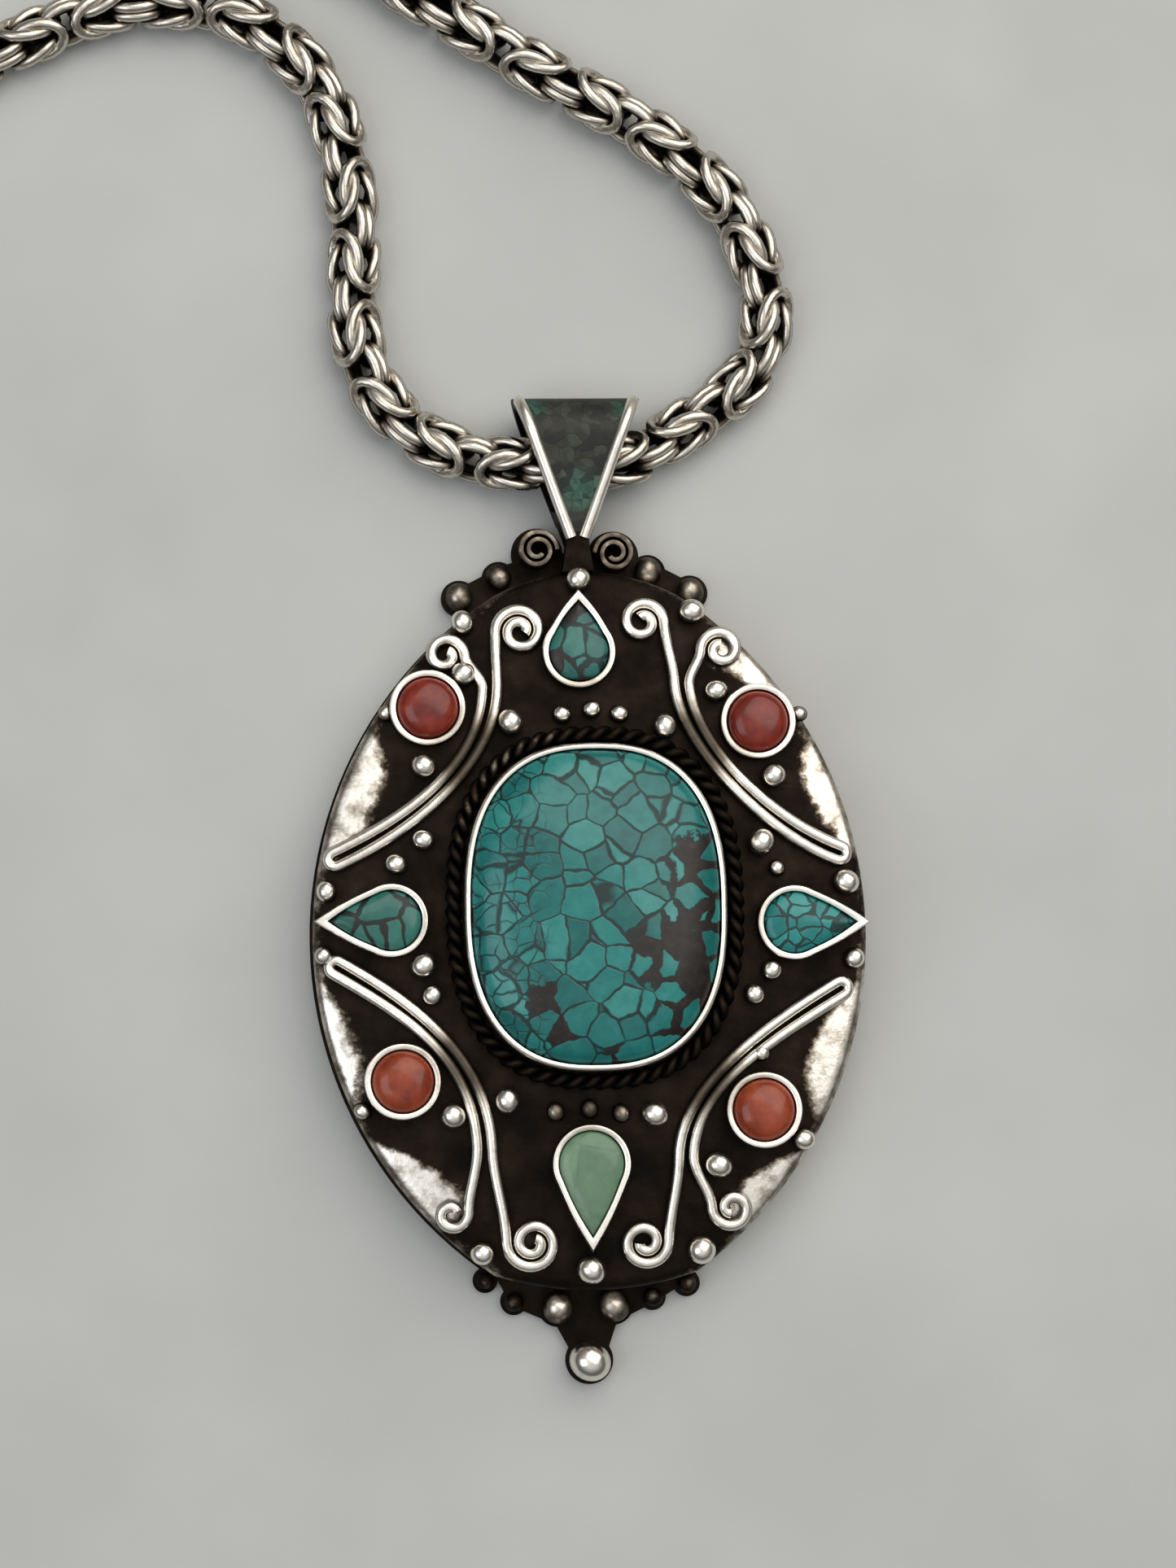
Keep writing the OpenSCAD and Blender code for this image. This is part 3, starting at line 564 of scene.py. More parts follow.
def turquoise(name, cell_mm, stone, vein_mm=0.1, rock=(), vein="#0d2b2a", rocky=ROCKY, small=None,
        net=1.0):
    """Polished turquoise of cells about cell_mm wide, in rock near the (x, y, radius) spots.
    small is an X to the left of which a net of smaller cells lies over the first."""
    material, tree, shader = finish(name, Roughness=0.2, IOR=1.42, Coat_Weight=0.05)
    shader.inputs["Coat Roughness"].default_value = 0.12
    where = place(tree)
    bent = where
    for size_mm, sway in ((cell_mm * 1.3, 0.5), (0.5, 0.22)):
        bent = swayed(tree, where, bent, size_mm, size_mm * sway, 2)
    bent = add(tree, "Mapping", {"Scale": (1, 1, 0.35)}, Vector=bent).outputs[0]
    uneven = spread(tree, noise(tree, where, 2.4, 3), 0.3, 0.7, 0.4, 1.7)
    width = math_of(tree, "MULTIPLY", uneven, vein_mm / cell_mm)
    size = {"Scale": 1 / (cell_mm * MM), "Randomness": 0.95}
    edge = add(tree, "TexVoronoi", {"feature": "DISTANCE_TO_EDGE", **size}, Vector=bent).outputs["Distance"]
    cell = add(tree, "SeparateColor", Color=add(tree, "TexVoronoi", size, Vector=bent).outputs["Color"])
    in_rock = None
    if rock:
        wander = add(tree, "Mix", {"data_type": "VECTOR", 0: 0.6}, s4=where, s5=bent).outputs[1]
        in_rock = near(tree, wander, rock, 0.3)
        torn = math_of(tree, "MULTIPLY", math_of(tree, "SUBTRACT", noise(tree, where, 1.2, 5, 0.7), 0.5), 1.5)
        torn = math_of(tree, "MULTIPLY", torn, spread(tree, in_rock, 0, 0.3))
        in_rock = math_of(tree, "ADD", in_rock, torn, clamp=True)
        lost = math_of(tree, "GREATER_THAN", cell.outputs["Green"], 0.56)
        grow = math_of(tree, "ADD", math_of(tree, "MULTIPLY", lost, 0.9), 0.13)
        width = math_of(tree, "ADD", width, math_of(tree, "MULTIPLY", in_rock, grow))
    dark = spread(tree, math_of(tree, "SUBTRACT", width, edge), -0.02, 0.02)
    dark = math_of(tree, "MULTIPLY", dark, net)
    if small is not None:
        fine = {"Scale": 1 / (cell_mm * 0.64 * MM), "Randomness": 0.85}
        fine_cells = add(tree, "TexVoronoi", {"feature": "DISTANCE_TO_EDGE", **fine}, Vector=bent)
        fine_edge = fine_cells.outputs["Distance"]
        left = spread(tree, add(tree, "SeparateXYZ", s0=bent).outputs["X"], small * MM, (small - 1.5) * MM)
        patchy = spread(tree, noise(tree, where, 3.2, 2), 0.42, 0.5, 0.25, 1)
        fine_vein = spread(tree, math_of(tree, "SUBTRACT", vein_mm * 0.9 / cell_mm, fine_edge), -0.03, 0.03)
        fine_vein = math_of(tree, "MULTIPLY", math_of(tree, "MULTIPLY", fine_vein, left), patchy)
        dark = math_of(tree, "MAXIMUM", dark, fine_vein)
    grain = noise(tree, where, 1.1, 6, 0.6)
    shade = math_of(tree, "ADD", math_of(tree, "MULTIPLY", cell.outputs["Red"], 0.5),
        math_of(tree, "MULTIPLY", grain, 0.6))
    colour = ramp(tree, shade, stone)
    if in_rock is None:
        mixed = add(tree, "Mix", {"data_type": "RGBA", 7: tint(vein)}, s0=dark, s6=colour)
    else:
        lump = ramp(tree, noise(tree, where, 0.9, 6, 0.65), list(zip((0.3, 0.55, 0.8), rocky)))
        net_colour = add(tree, "Mix", {"data_type": "RGBA", 6: tint(vein)},
            s0=spread(tree, in_rock, 0, 0.4), s7=lump)
        mixed = add(tree, "Mix", {"data_type": "RGBA"}, s0=dark, s6=colour, s7=net_colour.outputs[2])
    tree.links.new(mixed.outputs[2], shader.inputs["Base Color"])
    tree.links.new(spread(tree, dark, 0, 1, 0.18, 0.38), shader.inputs["Roughness"])
    sunk = math_of(tree, "SUBTRACT", math_of(tree, "MULTIPLY", grain, 0.15), dark)
    bumped(tree, shader, sunk, 0.06, 0.4)
    return material


BLUE_GREEN = [(0.15, "#0f4f4d"), (0.45, "#1b6b68"), (0.7, "#297e79"), (1, "#48938c")]
centre_turquoise = turquoise("turquoise_spiderweb", 2.35, BLUE_GREEN, 0.09, small=-3.2,
    rock=[(8.6, 1.2, 3.4), (9.2, -3.2, 3.2), (5.6, -5.6, 3.4), (8.2, -7.8, 3.4), (7.4, -11, 3),
    (-4, -9.6, 1.9), (-2.4, -11.8, 1.8), (2.6, -15, 2.4)])
top_turquoise = turquoise("turquoise_teal", 2.2, [(0.2, "#174a45"), (0.5, "#29665f"), (0.9, "#438479")], 0.14,
    rock=[(-2.4, 18.6, 1.6), (-0.7, 23.4, 1.8), (0.4, 17.4, 1.3)], rocky=("#11100e", "#22201c", "#3a362f"))
left_turquoise = turquoise("turquoise_green", 2.7,
    [(0.2, "#164a42"), (0.5, "#235f56"), (0.9, "#3b776c")], 0.14, vein="#141d1a")
right_turquoise = turquoise("turquoise_blue", 1.35,
    [(0.2, "#0e6361"), (0.5, "#187a78"), (0.9, "#33938e")], 0.07, vein="#0f3331")
bottom_turquoise = turquoise("turquoise_pale", 4.5,
    [(0.2, "#56735d"), (0.5, "#67856b"), (0.9, "#7f9c80")], 0.1, vein="#4f6c57", net=0.3)

# %% [markdown]
# Coral is cut across its branch and polished. It is a little see-through, so it reads as one warm
# colour with cloudy drifts in it, darker towards old cracks, under a wet-looking gloss.

# %% Coral
def coral(name, dark, middle, light):
    material, tree, shader = finish(name, Roughness=0.2, IOR=1.42, Coat_Weight=0.1)
    shader.inputs["Coat Roughness"].default_value = 0.1
    shader.inputs["Subsurface Weight"].default_value = 0.12
    shader.inputs["Subsurface Scale"].default_value = 0.8 * MM
    shader.inputs["Subsurface Radius"].default_value = (1.0, 0.25, 0.12)
    where = place(tree)
    drift = noise(tree, where, 2.6, 5, 0.6)
    colour = ramp(tree, drift, [(0.3, dark), (0.5, middle), (0.72, light)])
    tree.links.new(colour, shader.inputs["Base Color"])
    bumped(tree, shader, noise(tree, where, 0.7, 3), 0.02, 0.3)
    return material


dark_coral = coral("coral_dark_red", "#4a160f", "#782619", "#923a2a")
bright_coral = coral("coral_orange_red", "#6a2411", "#8d3b21", "#a55233")

# %% [markdown]
# The bail is filled with crushed stone in dark resin, ground flush. Small Voronoi cells each take
# a colour of their own from dull greens and browns, and the resin shows as thin dark seams. At the
# foot of the inlay and in its top corners the chips are greener.

# %% Chip inlay
def chip_inlay():
    material, tree, shader = finish("crushed_stone_inlay", Roughness=0.5, IOR=1.4)
    where = place(tree)
    bent = swayed(tree, where, where, 0.6, 0.5, 3)
    size = {"Scale": 1 / (0.9 * MM), "Randomness": 1.0}
    cell = add(tree, "SeparateColor", Color=add(tree, "TexVoronoi", size, Vector=bent).outputs["Color"])
    edge = add(tree, "TexVoronoi", {"feature": "DISTANCE_TO_EDGE", **size}, Vector=bent).outputs["Distance"]
    cloud = noise(tree, where, 0.8, 5, 0.6)
    pick = math_of(tree, "ADD", math_of(tree, "MULTIPLY", cell.outputs["Green"], 0.45),
        math_of(tree, "MULTIPLY", cloud, 0.55))
    chips = ramp(tree, pick, [(0.15, "#0e0f0d"), (0.35, "#1b1e1a"), (0.55, "#2c2c24"), (0.72, "#373d35"),
        (0.9, "#4f574d")])
    greens = ramp(tree, pick, [(0.2, "#0e211c"), (0.5, "#1f473b"), (0.8, "#3f7666")])
    green = near(tree, bent, [(-0.2, 33.6, 2.3), (3.6, 40.4, 1.5), (-4.2, 40.6, 1.6)], 0.2)
    chips = add(tree, "Mix", {"data_type": "RGBA"}, s0=math_of(tree, "MULTIPLY", green, 0.85), s6=chips,
        s7=greens).outputs[2]
    seam = spread(tree, edge, 0.0, 0.1, 0.45, 1)
    mixed = add(tree, "Mix", {"data_type": "RGBA", 6: tint("#191a17")}, s0=seam, s7=chips)
    tree.links.new(mixed.outputs[2], shader.inputs["Base Color"])
    bumped(tree, shader, math_of(tree, "ADD", seam, cloud), 0.04, 0.4)
    return material


inlay_finish = chip_inlay()
print("materials:", len(bpy.data.materials))

# %% [markdown]
# ## The bench
# Three ways of working make nearly every piece. A turned-up piece starts as a ring of points, drawn
# round the foot of the piece, which is extruded upwards again and again, each time to a new ring.
# A wire is a curve with a round section, which becomes a mesh when its line is right. And a softened
# piece is a copy of a frame part whose sharp edges are bevelled, as a file and a cloth would do.

# %% Bench tools
def put_down():
    """Nothing selected, in object mode."""
    if bpy.context.mode != "OBJECT":
        bpy.ops.object.mode_set(mode="OBJECT")
    bpy.ops.object.select_all(action="DESELECT")


def take(obj):
    put_down()
    obj.select_set(True)
    bpy.context.view_layer.objects.active = obj
    return obj


def done(obj, name, nodes, material, body="pendant", angle=40):
    """The last steps of every piece: place applied, smooth, named, finished and set on its body."""
    take(obj)
    bpy.ops.object.transform_apply(location=True, rotation=True, scale=True)
    bpy.ops.object.shade_smooth_by_angle(angle=math.radians(angle))
    obj.name = name
    obj.data.name = name
    obj.data.materials.clear()
    obj.data.materials.append(material)
    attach(obj, body)
    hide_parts(*nodes)
    print(name, len(obj.data.polygons), "faces")
    return obj


def extrude_to(ring, before):
    """Extrude the selected ring of points, and move each new point on to its place in the new ring."""
    bpy.ops.mesh.extrude_region_move()
    mesh = bmesh.from_edit_mesh(bpy.context.object.data)
    for v in [v for v in mesh.verts if v.select]:
        v.co = ring[int(np.argmin(np.linalg.norm(before - np.array(v.co), axis=1)))]
    bmesh.update_edit_mesh(bpy.context.object.data)


def turned_up(rings, join_ends=False, flat_top=False):
    """A closed piece through rings of the same number of points. A wall joins its last ring to its first."""
    put_down()
    rings = [np.array(metres(r)) for r in rings]
    bpy.ops.mesh.primitive_circle_add(vertices=len(rings[0]), radius=0.01, fill_type="NOTHING")
    obj = bpy.context.object
    for v, co in zip(obj.data.vertices, rings[0]):
        v.co = co
    bpy.ops.object.mode_set(mode="EDIT")
    bpy.ops.mesh.select_all(action="SELECT")
    for before, ring in zip(rings, rings[1:]):
        extrude_to(ring, before)
    if join_ends:
        bpy.ops.mesh.select_all(action="DESELECT")
        bpy.ops.mesh.select_non_manifold()
        bpy.ops.mesh.bridge_edge_loops()
    else:
        if not flat_top:
            bpy.ops.mesh.merge(type="CENTER")
        bpy.ops.mesh.select_all(action="DESELECT")
        bpy.ops.mesh.select_non_manifold()
        bpy.ops.mesh.edge_face_add()
    bpy.ops.mesh.select_all(action="SELECT")
    bpy.ops.mesh.normals_make_consistent(inside=False)
    bpy.ops.object.mode_set(mode="OBJECT")
    return obj


def wire(lines, radius, cyclic=False, sides=3):
    """Round wire along one or more lines, as one mesh."""
    put_down()
    bpy.ops.curve.primitive_nurbs_path_add()
    obj = bpy.context.object
    curve = obj.data
    curve.splines.clear()
    for line in lines:
        spline = curve.splines.new("POLY")
        spline.points.add(len(line) - 1)
        spline.points.foreach_set("co", np.hstack([np.array(line) * MM, np.ones((len(line), 1))]).ravel())
        spline.use_cyclic_u = cyclic
    curve.bevel_depth = radius * MM
    curve.bevel_resolution = sides
    curve.use_fill_caps = not cyclic
    curve.twist_mode = "MINIMUM"
    obj.location = (0, 0, 0)
    bpy.ops.object.convert(target="MESH")
    return bpy.context.object


def merged_copy(node):
    """A free copy of a frame part, its loose triangles joined at their corners."""
    put_down()
    obj = bpy.data.objects.new(node + "_copy", bpy.data.objects[node].data.copy())
    bpy.context.scene.collection.objects.link(obj)
    take(obj)
    bpy.ops.object.mode_set(mode="EDIT")
    bpy.ops.mesh.select_all(action="SELECT")
    bpy.ops.mesh.remove_doubles(threshold=0.002 * MM)
    bpy.ops.mesh.dissolve_limited(angle_limit=math.radians(1))
    bpy.ops.object.mode_set(mode="OBJECT")
    return obj


def softened(node, width_mm, segments=2):
    obj = merged_copy(node)
    bevel = obj.modifiers.new("soft_edge", "BEVEL")
    bevel.width = width_mm * MM
    bevel.segments = segments
    bevel.limit_method = "ANGLE"
    bevel.angle_limit = math.radians(35)
    bpy.ops.object.modifier_apply(modifier=bevel.name)
    return obj


# %% [markdown]
# ## Plates
# The box is three pieces of sheet: a flat back whose scalloped tabs carry the crown and foot
# granules, a band bent on edge for the wall, and the domed front soldered on top. The back and the
# wall are softened copies. The front is pressed down over the wall, so its edge rolls over, and it
# is built from rings of its outline instead: they follow the dome, then turn down round the edge.

# %% Plates
TOP_Y = 23
FOOT_Y = -31.8
CREST_ARC = (10.8, 16)
FOOT_ARC = (-6.5, 27)
ROLL = [(-1.1, 0), (-0.6, -0.05), (-0.28, -0.2), (-0.08, -0.42), (0, -0.7), (-0.05, -0.8), (-1, -0.8)]


def ray_to(circle_x, circle_y, radius, way):
    """How far it is from the box's middle to a circle, in some direction."""
    off = np.array([-circle_x, WAIST_Y - circle_y])
    half_b = float(off @ way)
    return -half_b + math.sqrt(half_b**2 - float(off @ off) + radius**2)


def box_outline(grow, n=180):
    out = []
    for i in range(n):
        way = polar(1, 360 * (i + 0.5) / n)
        reach = min(ray_to(s * SIDE_OFF, WAIST_Y, SIDE_R + grow, way) for s in (-1, 1))
        flat_y, (arc_y, arc_r) = (TOP_Y, CREST_ARC) if way[1] > 0 else (FOOT_Y, FOOT_ARC)
        to_flat = (flat_y - WAIST_Y) / way[1]
        reach = min(reach, max(to_flat, ray_to(0, arc_y, arc_r + grow, way)))
        out.append(np.array([0, WAIST_Y]) + way * reach)
    return out


def front_plate_sheet():
    edge = box_outline(ROLL[0][0])
    rings = []
    for i in range(1, 12):
        scale = i / 12
        rings.append([(x * scale, WAIST_Y + (y - WAIST_Y) * scale) for x, y in edge])
    top = [[(x, y, plate_z(x, y)) for x, y in ring] for ring in rings]
    roll = [[(x, y, plate_z(x, y) + drop) for x, y in box_outline(g)] for g, drop in ROLL]
    under = [[(x, y, plate_z(x, y) - SHEET) for x, y in ring] for ring in rings[::-1]]
    return turned_up(under[::-1] + roll[::-1] + top[::-1])


done(softened("back_plate", 0.12), "back_plate_sheet", ["back_plate"], back_silver)
done(softened("side_wall", 0.1), "side_wall_band", ["side_wall"], wall_silver)
done(front_plate_sheet(), "front_plate_sheet", ["front_plate"], plate_silver, angle=50)

# %% [markdown]
# ## The centre stone in its bezel
# A bezel is a thin strip bent round the stone and burnished over its edge, so its rim leans inwards
# and is rounded. The outline is a rounded oval: a circle whose sines and cosines are pulled
# outwards by a power of 0.8. The stone is a high cabochon. Its rings shrink towards the middle while
# they rise along a quarter ellipse, which makes a steep shoulder and a nearly flat crown.

# %% Centre stone and bezel
CENTRE_AT = np.array([0.3, -1.7])
CENTRE_HALF = np.array([10.9, 13.6])
BEZEL_T = 0.45
BEZEL_Z = 9.4
STONE_Z = 11.4


def oval(grow, n=96):
    """Outline of the centre bezel, grown all round by some millimetres."""
    out = []
    for i in range(n):
        a = 2 * math.pi * (i + 0.5) / n
        c, s = math.cos(a), math.sin(a)
        squared = [math.copysign(abs(c) ** 0.8, c), math.copysign(abs(s) ** 0.8, s)]
        out.append(CENTRE_AT + (CENTRE_HALF + grow) * squared)
    return out


def level(outline, z):
    """An outline as a ring: at one height, or at some height over the plate where z is a function."""
    return [(x, y, z(x, y) if callable(z) else z) for x, y in outline]


def strip(outline_at, foot, rim, wall, lean=0.12):
    """A bezel strip: up the outside, over a rounded rim and down the inside."""
    profile = [(0, foot), (0, rim - 0.5), (-lean * 0.5, rim - 0.2), (-lean - 0.06, rim - 0.04),
        (-lean - wall * 0.45, rim), (-lean - wall * 0.85, rim - 0.08), (-wall - lean * 0.8, rim - 0.3),
        (-wall, rim - 0.6), (-wall, foot)]
    return turned_up([level(outline_at(g), z) for g, z in profile], join_ends=True)


def cabochon(outline, middle, foot, shoulder, crown, steps=11, fullness=0.62):
    """A domed stone: straight sides up to the shoulder, then rings that shrink as they rise."""
    rings = [level(outline, foot), level(outline, shoulder)]
    for i in range(1, steps + 1):
        a = math.pi / 2 * i / (steps + 0.35)
        shrink = math.cos(a) ** fullness
        z = shoulder + (crown - shoulder) * math.sin(a)
        rings.append([(middle[0] + (x - middle[0]) * shrink, middle[1] + (y - middle[1]) * shrink, z)
            for x, y in outline])
    rings.append([(middle[0] + (x - middle[0]) * 0.02, middle[1] + (y - middle[1]) * 0.02, crown)
        for x, y in outline])
    return turned_up(rings)


done(strip(oval, 6.2, BEZEL_Z, BEZEL_T), "centre_bezel_strip", ["centre_bezel"], bezel_silver)
done(cabochon(oval(-BEZEL_T - 0.14), CENTRE_AT, 7.6, BEZEL_Z - 0.45, STONE_Z), "centre_cabochon",
    ["centre_stone"], centre_turquoise)

# %% [markdown]
# The rope round the bezel is two wires twisted together. Each runs as a helix about the oval, half
# a turn apart, and both ride on the plate.

# %% Rope wire
ROPE_D = 1.5
ROPE_TURNS = 32
STRAND_R = 0.36


def rope_strand(phase):
    round_bezel = oval(ROPE_D / 2 + 0.1, ROPE_TURNS * 14)
    middle = np.array([(x, y, plate_z(x, y) + ROPE_D / 2) for x, y in round_bezel])
    ahead = np.roll(middle, -1, 0) - np.roll(middle, 1, 0)
    side = np.cross(ahead, [0, 0, 1])
    side /= np.linalg.norm(side, axis=1, keepdims=True)
    steps = np.concatenate([[0], np.cumsum(np.linalg.norm(np.diff(middle, axis=0), axis=1))])
    turn = 2 * math.pi * (ROPE_TURNS * steps / (steps[-1] + np.linalg.norm(middle[0] - middle[-1])) + phase)
    lift = (ROPE_D / 2 - STRAND_R) * np.sin(turn)
    return middle + (ROPE_D / 2 - STRAND_R) * np.cos(turn)[:, None] * side + lift[:, None] * [0, 0, 1]


done(wire([rope_strand(0), rope_strand(0.5)], STRAND_R, cyclic=True, sides=2), "rope_wire_twist",
    ["rope_wire"], rope_silver, angle=60)

# %% [markdown]
# ## Drops and corals
# Four drop-shaped stones point up, down and to the sides, and four round corals sit between them.
# A drop's outline is most of a circle, closed by two nearly straight sides that meet in a tip.

# %% Small settings
SMALL_T = 0.55
SMALL_H = 1.7
CORAL_R = 3.2
DROPS = {"top": (3.1, 8.4, (-0.7, 19.7), 90), "left": (3.1, 9.5, (-16.6, -2.6), 180),
    "right": (3.15, 9.5, (16.9, -3.2), 0), "bottom": (3.3, 10.6, (-0.3, -22.9), 270)}
CORALS = {"ul": (-13.4, 15.1), "ur": (14.2, 13.7), "ll": (-15.8, -15.9), "lr": (14.1, -18.7)}


def drop_outline(radius, length, at, heading, grow, n=60):
    """A drop grown by some millimetres. Its sides bow out a little between the round end and the tip."""
    r = radius + grow
    reach = (length - radius) * r / radius
    half = math.degrees(math.acos(r / reach))
    arc = [polar(r, half + (360 - 2 * half) * i / (n - 17)) for i in range(n - 16)]
    tip = np.array([reach, 0])
    sides = []
    for start, end in ((arc[-1], tip), (tip, arc[0])):
        normal = np.array([end[1] - start[1], start[0] - end[0]])
        normal /= np.linalg.norm(normal)
        for i in range(1, 9):
            t = i / 8
            sides.append(start + t * (end - start) + normal * 0.16 * math.sin(math.pi * t))
    c, s = math.cos(math.radians(heading)), math.sin(math.radians(heading))
    turned = [np.array([x * c - y * s, x * s + y * c]) + at for x, y in arc + sides[:-1]]
    return turned


def round_outline(at, grow, n=48):
    return [np.array(at) + polar(CORAL_R + grow, 360 * i / n) for i in range(n)]


def setting(name, kind, outline_at, at, material, rise):
    """A bezel strip and the stone in it."""
    top = plate_z(*at) + SMALL_H
    foot = top - SMALL_H - 0.15
    done(strip(outline_at, foot, top, SMALL_T, 0.05), f"{kind}_bezel_{name}_strip", [f"{kind}_bezel_{name}"],
        bezel_silver)
    stone = cabochon(outline_at(-SMALL_T - 0.07), at, foot + 0.2, top - 0.45, top + rise, 8)
    done(stone, f"{kind}_{name}_cabochon", [f"{kind}_stone_{name}"], material)


for name, slot, material in (("top", "turquoise_teal", top_turquoise),
        ("left", "turquoise_green", left_turquoise), ("right", "turquoise_blue", right_turquoise),
        ("bottom", "turquoise_pale", bottom_turquoise)):
    setting(name, "drop", lambda g, d=DROPS[name]: drop_outline(*d, g), DROPS[name][2], material, 0.12)
for name, at in CORALS.items():
    deep = name.startswith("u")
    setting(name, "coral", lambda g, c=at: round_outline(c, g), at,
        dark_coral if deep else bright_coral, 0.95)

# %% [markdown]
# ## Scroll wires
# Each scroll is one length of round wire, doubled back on itself like a hairpin. The bend lies at
# the side of the box, both lines sweep round the centre, and at the fork they part and curl up in
# opposite ways. Both lines follow curves beside one middle line.

# %% Scroll lines
WIRE_R = 0.5
LINE_GAP = 0.62
SCROLLS = {
    "ul": (-1, 1, (-21.2, 2.6), (-14.5, 5.6), (-8.4, 10.5), (-8.2, 16.8), (-5.6, 21.6), 2.1,
        (-11.9, 19.6), 1.65),
    "ur": (1, 1, (20.9, 2.6), (15, 4.8), (8.2, 11.8), (7.9, 17), (4.7, 22.3), 1.85,
        (11.3, 19.9), 1.75),
    "ll": (-1, -1, (-21.2, -6.4), (-14.8, -10.2), (-9.4, -14), (-9.1, -21.5), (-5.2, -29.4), 2.2,
        (-11.9, -26.9), 1.4),
    "lr": (1, -1, (20.8, -8.7), (13.7, -12.8), (7.7, -17), (7.6, -22.5), (4.1, -29.5), 2,
        (11.4, -26.8), 1.7)}


def bezier(a, b, c, d, t):
    return (1 - t) ** 3 * a + 3 * t * (1 - t) ** 2 * b + 3 * t * t * (1 - t) * c + t**3 * d


def scroll_line(scroll, k, centre, radius, start_angle, way):
    """From the hairpin to the eye of one curl, k telling the side of the middle line."""
    side, end, hair, guide_a, guide_b, fork = [np.array(v, float) for v in scroll[:6]]
    u = (guide_a - hair) / np.linalg.norm(guide_a - hair)
    out = LINE_GAP * k * np.array([-u[1], u[0]])
    across = np.array([-LINE_GAP * k * end, 0])
    joint = np.array(centre) + polar(radius, start_angle)
    rise = np.array([0, (joint[1] - fork[1] - across[1]) / 3])
    line = [bezier(hair + out, guide_a + out, guide_b + across, fork + across, i / 24) for i in range(24)]
    line += [bezier(fork + across, fork + across + rise, joint - rise, joint, i / 10) for i in range(10)]
    turns = (radius - 0.45) / 1.05
    for i in range(49):
        angle = start_angle + way * 360 * turns * i / 48
        line.append(np.array(centre) + polar(radius - (radius - 0.45) * i / 48, angle))
    return line


def scroll_path(scroll):
    way = scroll[0] * scroll[1]
    left = scroll[0] < 0
    outer = scroll_line(scroll, -way, scroll[8], scroll[9], 0 if left else 180, -way)
    inner = scroll_line(scroll, way, scroll[6], scroll[7], 180 if left else 0, way)
    hair, guide = np.array(scroll[2]), np.array(scroll[3])
    lie = math.degrees(math.atan2(*(guide - hair)[::-1]))
    bend = [hair + polar(LINE_GAP, lie - way * 90 - way * 180 * i / 8) for i in range(1, 8)]
    flat = outer[::-1] + bend + inner
    return [(x, y, plate_z(x, y) + WIRE_R + 0.02) for x, y in flat]


for name, scroll in SCROLLS.items():
    done(wire([scroll_path(scroll)], WIRE_R), f"scroll_{name}_wire", [f"scroll_wire_{name}"],
        wire_silver, angle=60)

# %% [markdown]
# ## Granules
# Granules are snippets of silver melted until they draw up into balls. They are never quite round,
# and solder sinks them a little into the plate. Each starts as a sphere and is squeezed slightly,
# by an amount that depends on its place, so every run gives the same ones.

# %% Granules
UPPER = [(-0.6, 26, 1.05), (-10.4, 22.4, 1), (-10.4, 18, 1.05), (-16.9, 14.8, 0.7), (-13.8, 10.3, 1.05),
    (-6.5, 13.9, 1.1), (-2.2, 14.5, 0.8), (0.3, 14.9, 0.8), (2.6, 14.5, 0.8), (6.4, 13.4, 1.05),
    (8.9, 23.2, 1.1), (10.8, 16.4, 1), (17.8, 14.4, 0.7), (15.5, 9.2, 1.05)]
SIDES = [(-13.9, 4.1, 0.95), (-16.2, 2.1, 0.95), (-22, -0.1, 0.9), (-22.3, -5.4, 0.8), (-14, -6.3, 1.1),
    (-13.3, -8.8, 0.9), (14.3, 3.6, 1.15), (15.6, 1.4, 0.7), (21.4, 0.2, 1.1), (22, -6.2, 0.9),
    (15, -7.1, 0.9), (13.5, -9.1, 0.9)]
LOWER = [(14, -14, 0.75), (17.5, -21.2, 0.95), (10.3, -23.2, 1.15), (-19.2, -18.3, 0.75), (-11.7, -18.8, 1.1),
    (-7.2, -17.6, 1.1), (-3.2, -18.6, 0.8), (-0.4, -18.4, 0.8), (2.2, -18.8, 0.8), (5, -18.9, 1.15),
    (-9.4, -30.2, 1), (-0.4, -31.7, 1.2), (8.8, -30.2, 1.2)]
CROWN = [(-7.2, 26.8, 1.1), (-10.6, 25.1, 1.2), (5.6, 27.2, 1.2), (9.2, 25.4, 1.2)]
FOOT = [(-3, -35.1, 1.35), (1.7, -35, 1.35), (5, -34.4, 0.8), (7.9, -33.3, 0.8), (-9.1, -32.8, 0.7),
    (-6.7, -34.6, 0.8)]


def granule(x, y, radius, floor):
    put_down()
    z = floor + 0.6 * radius
    bpy.ops.mesh.primitive_uv_sphere_add(segments=24, ring_count=14, radius=radius * MM,
        location=metres([(x, y, z)])[0])
    ball = bpy.context.object
    sway = math.sin(x * 12.9 + y * 7.3)
    ball.rotation_euler = (0, 0, sway * 3)
    ball.scale = (1 + 0.05 * sway, 1 - 0.06 * sway, 0.97)
    return ball


def granules(name, node, spots, material, floor_at):
    balls = [granule(x, y, r, floor_at(x, y)) for x, y, r in spots]
    put_down()
    for ball in balls:
        ball.select_set(True)
    bpy.context.view_layer.objects.active = balls[0]
    if len(balls) > 1:
        bpy.ops.object.join()
    return done(balls[0], name, [node], material)


granules("upper_granule_balls", "granules_upper", UPPER, granule_silver, plate_z)
granules("side_granule_balls", "granules_sides", SIDES, granule_silver, plate_z)
granules("lower_granule_balls", "granules_lower", LOWER, granule_silver, plate_z)
granules("crown_granule_balls", "crown_granules", CROWN, low_silver, lambda x, y: SHEET)
granules("foot_granule_balls", "foot_granules", FOOT, low_silver, lambda x, y: SHEET)
granules("foot_finial_ball", "finial_ball", [(-0.4, -39.6, 1.72)], ball_silver,
    lambda x, y: SHEET + 0.17)

